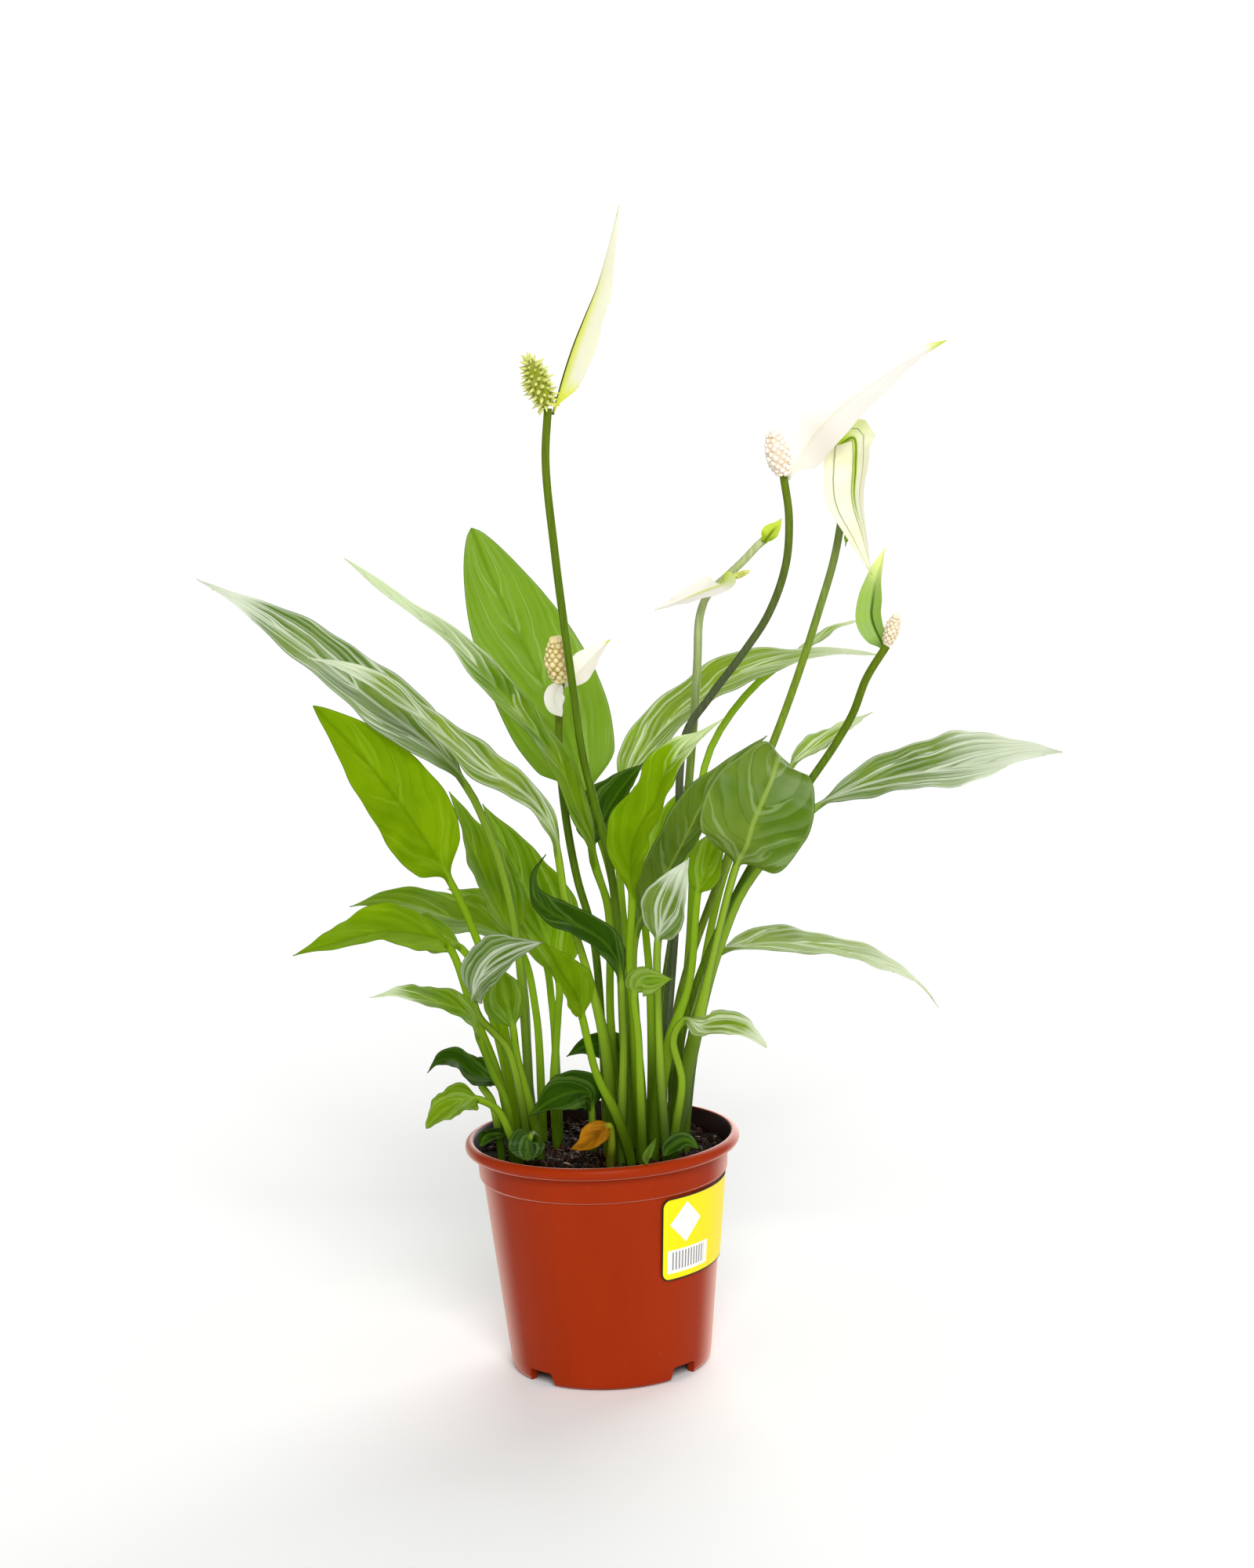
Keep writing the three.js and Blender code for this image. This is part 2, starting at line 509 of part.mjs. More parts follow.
function leafMesh(leaf) {
  const [rootX, rootY] = leaf.root;
  const points = [
    [rootX, rootY, PEG_FLOOR],
    [rootX, rootY, SOIL_LEVEL + 2],
    ...leaf.stalk,
    ...leaf.blade,
  ];
  const { curve, shareOf } = centreLine(points);
  const pegTop = shareOf(1);
  const foot = shareOf(1 + leaf.stalk.length);
  const across = leaf.width < NARROW_WIDTH ? ACROSS_NARROW : ACROSS_BROAD;
  const rings = [];
  const addRing = (u, bladeShare, stalkShare) => {
    const faceDeg = mix(leaf.face[0], leaf.face[1], bladeShare);
    const axes = crossAxes(curve.getTangentAt(u), faceDeg);
    const spread = leafOutline(bladeShare, leaf.belly ?? BELLY, leaf.taper ?? TAPER);
    const half = Math.max(0.6, leaf.width / 2 * spread);
    const wave = leaf.wave * Math.sin(bladeShare * 15 + rootX) * Math.sin(Math.PI * bladeShare);
    rings.push(bladeRing(curve.getPointAt(u), axes, half, across, {
      fold: leaf.fold,
      wave,
      stalk: stalkSection(stalkShare, leaf.sheath),
      blend: smooth(bladeShare / BLADE_JOIN),
      share: bladeShare,
    }));
  };
  addRing(0, 0, 0);
  for (let i = 0; i < STALK_STATIONS; i += 1) {
    const share = i / STALK_STATIONS;
    addRing(mix(pegTop, foot, share), 0, share);
  }
  for (let i = 0; i <= BLADE_STATIONS; i += 1) {
    const share = (i / BLADE_STATIONS) ** 1.08;
    addRing(mix(foot, 1, share), share, 1);
  }
  const skin = outward(skinRings(rings, across.length));
  return part(leaf.name, toGeometry(skin.positions, skin.indices), finish('leaf', COLORS[leaf.tone], 0.45));
}

// ----------------------------------------------------------------------------- flowers

// Clearances that keep the pieces of one flower apart by a hair.
const FLOWER_GAP = 0.4;
const CLAW_GAP = 0.6;
const CLAW_THICKNESS = 0.5;
const CLAW_HALF_WIDTH = 1.5;
const NARROWEST = 0.7;
const CLAW_LAP = 2.5;

// Half thickness of a flower's stem at a share of its length.
function stemRadius(flower, share) {
  return PEDUNCLE_RADIUS * mix(1, flower.girth ?? 1, smooth((share - 0.1) / 0.4));
}

// End point and direction of a flower's stem.
function stemEnd(flower) {
  const { curve } = stemLine(flower);
  return { tip: curve.getPointAt(1), along: curve.getTangentAt(1) };
}

function stemLine(flower) {
  const [rootX, rootY] = flower.root;
  return centreLine([[rootX, rootY, PEG_FLOOR], [rootX, rootY, SOIL_LEVEL + 2], ...flower.stem]);
}

// The claw of the spathe lies against the outer side of the stem's end.
function spatheMesh(name, flower) {
  const { spathe } = flower;
  const { tip, along } = stemEnd(flower);
  const { up } = crossAxes(along, spathe.face[0]);
  const claw = tip.addScaledVector(along, -CLAW_LAP)
    .addScaledVector(up, -(stemRadius(flower, 1) + CLAW_THICKNESS + CLAW_GAP));
  const { curve } = centreLine([claw.toArray(), ...spathe.line]);
  const rings = [];
  for (let i = 0; i <= BLADE_STATIONS; i += 1) {
    const share = i / BLADE_STATIONS;
    const axes = crossAxes(curve.getTangentAt(share), mix(spathe.face[0], spathe.face[1], share));
    const half = Math.max(NARROWEST, spathe.width / 2 * spatheOutline(share));
    rings.push(bladeRing(curve.getPointAt(share), axes, half, ACROSS_BROAD, {
      fold: spathe.fold,
      wave: 0,
      stalk: { wide: CLAW_HALF_WIDTH, thick: CLAW_THICKNESS },
      blend: smooth(share / BLADE_JOIN),
      share: 1,
    }));
  }
  const skin = outward(skinRings(rings, ACROSS_BROAD.length));
  return part(name, toGeometry(skin.positions, skin.indices), finish('spathe', COLORS[spathe.tone], 0.55));
}

function stemMesh(name, flower) {
  const { curve } = stemLine(flower);
  const stations = 4 + Math.round(1.5 * flower.stem.length);
  const rings = [];
  for (let i = 0; i <= stations; i += 1) {
    const u = i / stations;
    const centre = curve.getPointAt(u);
    const { wide, up } = crossAxes(curve.getTangentAt(u), 0);
    const radius = stemRadius(flower, u);
    const ring = [];
    for (let j = 0; j < PEDUNCLE_SIDES; j += 1) {
      const angle = (2 * Math.PI * j) / PEDUNCLE_SIDES;
      ring.push(centre.clone()
        .addScaledVector(wide, radius * Math.cos(angle))
        .addScaledVector(up, radius * Math.sin(angle)));
    }
    rings.push(ring);
  }
  const skin = outward(skinRings(rings, PEDUNCLE_SIDES));
  return part(name, toGeometry(skin.positions, skin.indices), finish('stem', COLORS.stem, 0.5));
}

// A spadix is covered in florets: every second point of its skin stands out.
const SPADIX_ROWS = 8;
const SPADIX_COLUMNS = 10;
const FLORET_RISE = 0.9;

function spadixMesh(name, flower) {
  const { spadix } = flower;
  const end = stemEnd(flower);
  const tip = new THREE.Vector3(...spadix.tip);
  const lean = tip.clone().sub(end.tip).normalize();
  const tilt = new THREE.Vector3().crossVectors(lean, end.along).length();
  const foot = end.tip.addScaledVector(lean, FLOWER_GAP + stemRadius(flower, 1) * tilt);
  const axis = tip.clone().sub(foot);
  const { wide, up } = crossAxes(axis.clone().normalize(), 0);
  const rings = [];
  for (let i = 0; i <= SPADIX_ROWS; i += 1) {
    const share = i / SPADIX_ROWS;
    const body = spadix.radius * Math.sin(Math.PI * mix(0.12, 0.93, share)) ** 0.6;
    const centre = foot.clone().addScaledVector(axis, share);
    const ring = [];
    for (let j = 0; j < SPADIX_COLUMNS; j += 1) {
      const angle = (2 * Math.PI * j) / SPADIX_COLUMNS;
      const raised = (i + j) % 2 === 0 && i > 0 && i < SPADIX_ROWS ? FLORET_RISE : 0;
      ring.push(centre.clone()
        .addScaledVector(wide, (body + raised) * Math.cos(angle))
        .addScaledVector(up, (body + raised) * Math.sin(angle)));
    }
    rings.push(ring);
  }
  const skin = outward(skinRings(rings, SPADIX_COLUMNS));
  return part(name, toGeometry(skin.positions, skin.indices), finish('spadix', COLORS.spadix, 0.75));
}

// --------------------------------------------------------------------------------- pot

// Closed outline (radius, height) of the pot, outside down to the foot and back inside.
function potProfile() {
  const top = POT_HEIGHT;
  return [
    [0, FLOOR_UNDERSIDE],
    [FOOT_INNER_RADIUS, FLOOR_UNDERSIDE],
    [FOOT_INNER_RADIUS, 0],
    [FOOT_RING_RADIUS - 1, 0],
    [FOOT_RING_RADIUS, 1.5],
    [BODY_FOOT_RADIUS, 5],
    [BODY_TOP_RADIUS, top - BODY_TOP],
    [BODY_TOP_RADIUS + 1.6, top - COLLAR_FOOT],
    [BODY_TOP_RADIUS + 2.2, top - COLLAR_TOP],
    [POT_LIP_RADIUS - 1, top - LIP_UNDERSIDE],
    [POT_LIP_RADIUS, top - LIP_DROP],
    [POT_LIP_RADIUS - 0.6, top - 0.8],
    [POT_LIP_RADIUS - 2.8, top],
    [POT_LIP_RADIUS - 3.8, top - 0.6],
    [BODY_TOP_RADIUS + 2.2 - WALL, top - COLLAR_TOP - 2],
    [BODY_TOP_RADIUS - WALL, top - BODY_TOP - 0.5],
    [BODY_FOOT_RADIUS - WALL, FLOOR_TOP + 0.8],
    [BODY_FOOT_RADIUS - WALL - 1.3, FLOOR_TOP],
    [0, FLOOR_TOP],
  ];
}

// Lathe geometry stands along Y, so it is tipped up to stand along Z.
function turned(profile, sides) {
  const points = profile.map(([radius, height]) => new THREE.Vector2(radius, height));
  return new THREE.LatheGeometry(points, sides).rotateX(Math.PI / 2);
}

// Upright round bar at (x, y) from one height to another.
function upright(x, y, radius, low, high, sides) {
  return new THREE.CylinderGeometry(radius, radius, high - low, sides)
    .rotateX(Math.PI / 2)
    .translate(x, y, (low + high) / 2);
}

function notchCutter(angleDeg) {
  const outline = new THREE.Shape([
    new THREE.Vector2(-NOTCH_WIDTH_LOW / 2, -1),
    new THREE.Vector2(NOTCH_WIDTH_LOW / 2, -1),
    new THREE.Vector2(NOTCH_WIDTH_HIGH / 2, NOTCH_HEIGHT),
    new THREE.Vector2(-NOTCH_WIDTH_HIGH / 2, NOTCH_HEIGHT),
  ]);
  const depth = NOTCH_OUTER_RADIUS - NOTCH_INNER_RADIUS;
  return new THREE.ExtrudeGeometry(outline, { depth, bevelEnabled: false })
    .rotateX(Math.PI / 2)
    .translate(0, -NOTCH_INNER_RADIUS, 0)
    .rotateZ(THREE.MathUtils.degToRad(angleDeg));
}

function potMesh() {
  let pot = toSolid(turned(potProfile(), POT_SIDES));
  for (let i = 0; i < NOTCH_COUNT; i += 1) {
    pot = pot.subtract(toSolid(notchCutter(45 + (360 / NOTCH_COUNT) * i)));
  }
  pot = pot.subtract(toSolid(upright(0, 0, DRAIN_RADIUS, -1, FLOOR_TOP + 1, 16)));
  return part('pot', solidToGeometry(pot), finish('pot', COLORS.pot, 0.4));
}

// -------------------------------------------------------------------------------- peat

// Inner radius of the pot at a height inside the peat.
function innerRadius(height) {
  const low = FLOOR_TOP + 0.8;
  const high = POT_HEIGHT - BODY_TOP - 0.5;
  const share = Math.min(1, (height - low) / (high - low));
  const radius = mix(BODY_FOOT_RADIUS - WALL, BODY_TOP_RADIUS - WALL, share);
  const collarRise = POT_HEIGHT - COLLAR_TOP - 2 - high;
  const above = Math.max(0, height - high) / collarRise;
  return radius + above * 2.2;
}

// Uneven surface of the peat as a sum of slow and quick ripples.
function soilHeight(x, y) {
  const slow = Math.sin(x * 0.13 + 1.1) * Math.cos(y * 0.11 - 0.6);
  const quick = Math.sin(x * 0.41 + y * 0.23) * Math.sin(y * 0.37 - 0.4);
  return SOIL_LEVEL + SOIL_BUMP * (0.55 * slow + 0.45 * quick) - 0.6;
}

function soilGeometry() {
  const positions = [];
  const indices = [];
  const flatScale = Math.cos(Math.PI / POT_SIDES);
  const edge = (height) => innerRadius(height) * flatScale - SOIL_GAP;
  const ringAt = (radius, height) => {
    const start = positions.length / 3;
    for (let j = 0; j < SOIL_SIDES; j += 1) {
      const angle = (2 * Math.PI * j) / SOIL_SIDES;
      const x = radius * Math.cos(angle);
      const y = radius * Math.sin(angle);
      positions.push(x, y, height === null ? soilHeight(x, y) : height);
    }
    return start;
  };
  const bottom = FLOOR_TOP + 1.2;
  const collar = POT_HEIGHT - BODY_TOP - 1;
  const rings = [ringAt(edge(bottom), bottom), ringAt(edge(collar), collar)];
  for (let i = SOIL_RINGS; i > 0; i -= 1) {
    rings.push(ringAt((edge(SOIL_LEVEL - 2) * i) / SOIL_RINGS, null));
  }
  for (let i = 0; i + 1 < rings.length; i += 1) {
    for (let j = 0; j < SOIL_SIDES; j += 1) {
      const next = (j + 1) % SOIL_SIDES;
      indices.push(rings[i] + j, rings[i] + next, rings[i + 1] + next);
      indices.push(rings[i] + j, rings[i + 1] + next, rings[i + 1] + j);
    }
  }
  const low = positions.length / 3;
  positions.push(0, 0, bottom, 0, 0, soilHeight(0, 0));
  const last = rings[rings.length - 1];
  for (let j = 0; j < SOIL_SIDES; j += 1) {
    const next = (j + 1) % SOIL_SIDES;
    indices.push(rings[0] + next, rings[0] + j, low);
    indices.push(last + j, last + next, low + 1);
  }
  return toGeometry(positions, indices);
}

function soilMesh() {
  const above = SOIL_LEVEL + 6;
  const holes = [...LEAVES, ...FLOWERS].map(({ root: [x, y] }) => (
    toSolid(upright(x, y, HOLE_RADIUS, HOLE_FLOOR, above, HOLE_SIDES))
  ));
  const soil = holes.reduce((body, hole) => body.subtract(hole), toSolid(soilGeometry()));
  return part('soil', solidToGeometry(soil), finish('soil', COLORS.soil, 0.95));
}

// ----------------------------------------------------------------------------- sticker

function stickerMesh() {
  const bodyTop = POT_HEIGHT - BODY_TOP;
  const bodyRadius = (height) => mix(BODY_FOOT_RADIUS, BODY_TOP_RADIUS, (height - 5) / (bodyTop - 5));
  const length = THREE.MathUtils.degToRad(STICKER_END_DEG - STICKER_START_DEG) * bodyRadius(STICKER_TOP);
  const rings = [];
  for (let i = 0; i <= STICKER_COLUMNS; i += 1) {
    const turn = (Math.PI * i) / STICKER_COLUMNS;
    const share = 0.5 - 0.5 * Math.cos(turn) * (1 - 0.12 * Math.sin(turn));
    const fromEnd = Math.min(share, 1 - share) * length;
    const inset = Math.max(0, STICKER_CORNER - fromEnd);
    const cut = STICKER_CORNER - Math.sqrt(Math.max(0, STICKER_CORNER ** 2 - inset ** 2));
    const angle = THREE.MathUtils.degToRad(mix(STICKER_START_DEG, STICKER_END_DEG, share) - 90);
    const at = (height, lift) => {
      const radius = bodyRadius(height) + STICKER_GAP + lift;
      return new THREE.Vector3(radius * Math.cos(angle), radius * Math.sin(angle), height);
    };
    const high = STICKER_TOP - cut;
    const low = STICKER_TOP - STICKER_HEIGHT + cut;
    rings.push([at(low, STICKER_THICKNESS), at(high, STICKER_THICKNESS), at(high, 0), at(low, 0)]);
  }
  const skin = outward(skinRings(rings, 2));
  return part('sticker', toGeometry(skin.positions, skin.indices), finish('sticker', COLORS.sticker, 0.4));
}

// ---------------------------------------------------------------------------- assembly

const group = new THREE.Group();
group.name = 'potted_peace_lily';
group.add(potMesh(), soilMesh(), stickerMesh());
LEAVES.forEach((leaf) => group.add(leafMesh(leaf)));
FLOWERS.forEach((flower) => {
  group.add(stemMesh(`${flower.name}_stem`, flower));
  group.add(spatheMesh(`${flower.name}_spathe`, flower));
  group.add(spadixMesh(`${flower.name}_spadix`, flower));
});

// Slide everything so that the outline seen from above is centred on x = y = 0.
const outline = new THREE.Box3().setFromObject(group);
const middle = outline.getCenter(new THREE.Vector3());
group.position.set(-middle.x, -middle.y, 0);

export default group;
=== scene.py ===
"""A peace lily in a 12 cm nursery pot, dressed for its portrait.

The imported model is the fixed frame. The pot, the peat, the label, every leaf and every
flower are built again here from the same sizes, as finer pieces that stand for their CAD
nodes. Sizes in the classes are millimetres from the pot's upright axis, with the front
of the pot towards -Y; metres() turns them into the metres of the frame.
"""

import functools
import logging
import math
from dataclasses import dataclass, field
from enum import Enum
from typing import Any, Iterable, Mapping, Sequence

import bpy
import numpy as np
from mathutils import Matrix, Vector, noise


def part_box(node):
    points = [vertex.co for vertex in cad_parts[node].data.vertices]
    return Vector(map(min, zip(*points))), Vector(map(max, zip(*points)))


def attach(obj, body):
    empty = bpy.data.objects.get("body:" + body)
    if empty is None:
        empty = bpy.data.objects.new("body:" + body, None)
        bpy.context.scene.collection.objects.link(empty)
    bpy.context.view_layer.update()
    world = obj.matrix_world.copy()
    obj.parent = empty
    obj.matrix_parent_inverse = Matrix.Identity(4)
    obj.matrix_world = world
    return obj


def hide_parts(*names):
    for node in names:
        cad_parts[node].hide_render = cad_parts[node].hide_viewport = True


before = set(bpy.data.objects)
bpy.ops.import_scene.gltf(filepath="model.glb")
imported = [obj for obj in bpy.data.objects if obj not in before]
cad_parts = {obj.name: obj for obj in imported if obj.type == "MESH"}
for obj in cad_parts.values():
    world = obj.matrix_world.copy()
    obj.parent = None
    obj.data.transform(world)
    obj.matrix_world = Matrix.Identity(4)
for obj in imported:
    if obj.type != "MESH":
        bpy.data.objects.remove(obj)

LOG = logging.getLogger("peace_lily")
MM = 0.001
BODY = "root"
TURN = 2.0 * math.pi

Point = tuple[float, float, float]
Spot = tuple[float, float]
Rgba = tuple[float, float, float, float]
Tree = bpy.types.NodeTree
Socket = bpy.types.NodeSocket


# ------------------------------------------------------------------------ small tools


def linear(hex_code: str) -> Rgba:
    """Turn an sRGB hex colour into linear light.

    Args:
        hex_code: colour written as #RRGGBB.

    Returns:
        Linear red, green and blue with full alpha.
    """
    parts = [int(hex_code[k : k + 2], 16) / 255.0 for k in (1, 3, 5)]
    red, green, blue = (
        part / 12.92 if part <= 0.04045 else ((part + 0.055) / 1.055) ** 2.4
        for part in parts
    )
    return (red, green, blue, 1.0)


def per_metre(size_mm: float) -> float:
    """Give the texture scale that repeats once in size_mm."""
    return 1.0 / (size_mm * MM)


def smooth(value: Any) -> Any:
    """Ease from 0 to 1 with flat ends."""
    held = np.clip(value, 0.0, 1.0)
    return held * held * (3.0 - 2.0 * held)


def mix(start: Any, end: Any, share: Any) -> Any:
    """Go from start to end by a share of the way."""
    return start + (end - start) * share


def unit(rows: np.ndarray) -> np.ndarray:
    """Scale every row vector to length one."""
    return rows / np.linalg.norm(rows, axis=-1, keepdims=True)


def add_node(
    tree: Tree,
    kind: str,
    inputs: Mapping[str | int, Any] | None = None,
    out: int | str = 0,
    **settings: Any,
) -> Socket | None:
    """Add one node with its settings, its values and the links into it.

    Args:
        tree: node tree that gets the node.
        kind: Blender's type name of the node.
        inputs: value or output socket for each named or numbered input.
        out: name or number of the output that is used.
        settings: properties that are set before the inputs.

    Returns:
        That output, or nothing from a node that ends its tree.
    """
    node = tree.nodes.new(kind)
    for name, value in settings.items():
        setattr(node, name, value)
    for key, value in (inputs or {}).items():
        if isinstance(value, Socket):
            tree.links.new(value, node.inputs[key])
        else:
            node.inputs[key].default_value = value
    return node.outputs[out] if len(node.outputs) else None


# -------------------------------------------------------------------- shapes and lines


@functools.cache
def pot_axis() -> np.ndarray:
    """Find the foot of the pot's upright axis from the pot's own box, in millimetres."""
    low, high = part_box("pot")
    return np.array([(low[0] + high[0]) / 2 / MM, (low[1] + high[1]) / 2 / MM, 0.0])


def metres(points: np.ndarray) -> np.ndarray:
    """Turn millimetres about the pot's axis into metres of the frame."""
    return (points + pot_axis()) * MM


@dataclass
class Shape:
    """Points, faces and point attributes of one mesh, in millimetres."""

    points: np.ndarray
    faces: list[tuple[int, ...]]
    marks: dict[str, np.ndarray] = field(default_factory=dict)

    def volume(self) -> float:
        """Signed volume, negative when the faces point inwards."""
        corners = np.array([
            (face[0], face[k], face[k + 1])
            for face in self.faces
            for k in range(1, len(face) - 1)
        ])
        first, second, third = (self.points[corners[:, k]] for k in range(3))
        return float(np.einsum("ij,ij->i", first, np.cross(second, third)).sum()) / 6.0

    def outward(self) -> "Shape":
        """Turn the faces over if they point inwards."""
        if self.volume() < 0.0:
            self.faces = [tuple(reversed(face)) for face in self.faces]
        return self

    def piece(self, name: str, material: bpy.types.Material) -> bpy.types.Object:
        """Make the Blender object of this shape.

        Args:
            name: name of the object.
            material: finish of every face.

        Returns:
            A smooth-shaded mesh object at the origin.
        """
        mesh = bpy.data.meshes.new(name)
        mesh.from_pydata(metres(self.points).tolist(), [], self.faces)
        for label, values in self.marks.items():
            mark = mesh.attributes.new(label, "FLOAT", "POINT")
            mark.data.foreach_set("value", np.asarray(values, dtype=np.float32).ravel())
        mesh.materials.append(material)
        mesh.shade_smooth()
        mesh.validate()
        thing = bpy.data.objects.new(name, mesh)
        bpy.context.scene.collection.objects.link(thing)
        return thing


def quads(rows: int, columns: int, closed: bool = True) -> list[tuple[int, ...]]:
    """Join rows of points by four-sided faces, round to the first column if closed."""
    return [
        (i * columns + j, i * columns + k, (i + 1) * columns + k, (i + 1) * columns + j)
        for i in range(rows - 1)
        for j, k in zip(range(columns), [*range(1, columns), *([0] if closed else [])])
    ]


def skin(rings: np.ndarray, marks: Mapping[str, np.ndarray]) -> Shape:
    """Join closed rings into one skin, with a ladder of faces across both ends.

    Args:
        rings: points as rings x columns x 3; the second half of a ring runs back
            under the first half.
        marks: point attributes as rings x columns.

    Returns:
        The closed shape with its faces outwards.
    """
    count, columns, _ = rings.shape
    faces = quads(count, columns)
    last = (count - 1) * columns
    for j in range(columns // 2 - 1):
        far = columns - 1 - j
        faces.append((j + 1, j, far, far - 1))
        faces.append((last + j, last + j + 1, last + far - 1, last + far))
    flat = {label: values.reshape(-1) for label, values in marks.items()}
    return Shape(rings.reshape(-1, 3), faces, flat).outward()


def capped(rings: np.ndarray, low: float, high: float) -> Shape:
    """Join rings round the pot's axis and close both ends with a point on it.

    Args:
        rings: points as rings x columns x 3.
        low: height of the point before the first ring.
        high: height of the point after the last ring.

    Returns:
        The closed shape with its faces outwards.
    """
    count, columns, _ = rings.shape
    faces = quads(count, columns)
    first, last = count * columns, count * columns + 1
    for j in range(columns):
        k = (j + 1) % columns
        faces.append((k, j, first))
        faces.append((first - columns + j, first - columns + k, last))
    poles = np.array([[0.0, 0.0, low], [0.0, 0.0, high]])
    return Shape(np.vstack([rings.reshape(-1, 3), poles]), faces).outward()


class CentreLine:
    """Centripetal curve through given points, walked by share of its length."""

    STEPS = 40

    def __init__(self, points: Sequence[Sequence[float]]) -> None:
        """Sample the curve between its points.

        Args:
            points: where the curve goes through, in millimetres.
        """
        knots = np.array(points, dtype=float)
        padded = np.vstack([2 * knots[0] - knots[1], knots, 2 * knots[-1] - knots[-2]])
        spans = [self._span(padded[k : k + 4])[:-1] for k in range(len(knots) - 1)]
        self.samples = np.vstack([*spans, knots[-1:]])
        steps = np.linalg.norm(np.diff(self.samples, axis=0), axis=1)
        lengths = np.concatenate([[0.0], np.cumsum(steps)])
        self.total = float(lengths[-1])
        self.shares = lengths / self.total
        self.tangents = unit(np.gradient(self.samples, axis=0))

    def _span(self, four: np.ndarray) -> np.ndarray:
        """Sample the curve between the middle two of four points.

        Args:
            four: one point before the stretch, its two ends and one point after it.

        Returns:
            STEPS + 1 points from one end to the other.
        """
        before, start, end, after = four
        gap = np.linalg.norm(np.diff(four, axis=0), axis=1) ** 0.5
        leave = (start - before) / gap[0] - (end - before) / (gap[0] + gap[1])
        leave = (leave + (end - start) / gap[1]) * gap[1]
        arrive = (end - start) / gap[1] - (after - start) / (gap[1] + gap[2])
        arrive = (arrive + (after - end) / gap[2]) * gap[1]
        t = np.linspace(0.0, 1.0, self.STEPS + 1)[:, None]
        square, cube = t * t, t * t * t
        return (
            (2 * cube - 3 * square + 1) * start
            + (cube - 2 * square + t) * leave
            + (3 * square - 2 * cube) * end
            + (cube - square) * arrive
        )

    def share_of(self, index: int) -> float:
        """Share of the length at one of the given points."""
        return float(self.shares[index * self.STEPS])

    def at(self, shares: np.ndarray) -> tuple[np.ndarray, np.ndarray]:
        """Give points and directions along the curve.

        Args:
            shares: shares of the length, from 0 to 1.

        Returns:
            Points and unit tangents, one row each.
        """
        walk = [np.interp(shares, self.shares, self.samples[:, k]) for k in range(3)]
        lean = [np.interp(shares, self.shares, self.tangents[:, k]) for k in range(3)]
        return np.stack(walk, axis=1), unit(np.stack(lean, axis=1))


def cross_axes(tangents: np.ndarray, face_deg: np.ndarray | float) -> tuple[np.ndarray, np.ndarray]:
    """Axes across a centre line for a facing angle.

    Args:
        tangents: unit directions along the line.
        face_deg: turn about the line; 0 shows the upper side to the front.

    Returns:
        Width directions and upper-side normals.
    """
    away = np.array([0.0, 1.0, 0.0])
    across = unit(np.cross(tangents, away))
    depth = unit(away - tangents * (tangents @ away)[:, None])
    turn = np.radians(np.broadcast_to(np.asarray(face_deg, dtype=float), len(tangents)))[:, None]
    wide = across * np.cos(turn) + depth * np.sin(turn)
    return wide, unit(np.cross(tangents, wide))


@dataclass(frozen=True)
class Blade:
    """Cross-section rule shared by leaves and spathes."""

    columns: int = 23
    middle_thickness: float = 0.55
    margin_thickness: float = 0.34

    def across(self) -> np.ndarray:
        """Positions from one margin (-1) over the midrib (0) to the other (1)."""
        even = np.linspace(-1.0, 1.0, self.columns)
        eased = np.sign(even) * np.abs(even) ** 1.3
        eased[[1, -2]] = (-0.975, 0.975)
        return eased

    def rings(
        self,
        centres: np.ndarray,
        axes: tuple[np.ndarray, np.ndarray],
        half: np.ndarray,
        lift: np.ndarray,
        stalk: tuple[np.ndarray, np.ndarray],
        blend: np.ndarray,
        fold_deg: float,
        rib: np.ndarray,
    ) -> np.ndarray:
        """Rings of a blade that grows out of a round stalk.

        Args:
            centres: points on the centre line.
            axes: width directions and upper-side normals.
            half: half width at each station.
            lift: height of the surface at stations x columns, for waves and veins.
            stalk: half width and half thickness of the stalk at each station.
            blend: 0 on the stalk, 1 on the free blade.
            fold_deg: how far both halves rise from the midrib.
            rib: how far the midrib stands out under the blade at each station.

        Returns:
            Points as stations x ring columns x 3.
        """
        v = self.across()
        wide, up = axes
        rise, flat = math.sin(math.radians(fold_deg)), math.cos(math.radians(fold_deg))
        angle = math.pi - math.pi / self.columns * (np.arange(self.columns) + 0.5)
        body = mix(self.middle_thickness, self.margin_thickness, np.abs(v)) / 2.0
        near_rib = np.exp(-((v[None, :] * half[:, None] / 0.9) ** 2))
        height = half[:, None] * rise * np.abs(v) ** 1.25 + lift
        leaf_w = v[None, :] * half[:, None] * flat
        upper_u = height + body - 0.28 * near_rib
        lower_u = height - body - rib[:, None] * near_rib
        share = blend[:, None]
        w = mix(stalk[0][:, None] * np.cos(angle), leaf_w, share)
        round_u = stalk[1][:, None] * np.sin(angle)
        sides = [
            centres[:, None, :] + w[..., None] * wide[:, None, :] + u[..., None] * up[:, None, :]
            for u in (mix(round_u, upper_u, share), mix(-round_u, lower_u, share))
        ]
        return np.concatenate([sides[0], sides[1][:, ::-1, :]], axis=1)

    def marks(self, stations: int, **values: np.ndarray | float) -> dict[str, np.ndarray]:
        """Spread marks over the upper and the under side of each ring.

        Args:
            stations: number of rings.
            values: each mark, one number or by column, by station or by both.

        Returns:
            Each mark as stations x ring columns.
        """
        spread = {
            label: np.broadcast_to(value, (stations, self.columns))
            for label, value in values.items()
        }
        return {
            label: np.concatenate([upper, upper[:, ::-1]], axis=1)
            for label, upper in spread.items()
        }


# ---------------------------------------------------------------------------- finishes


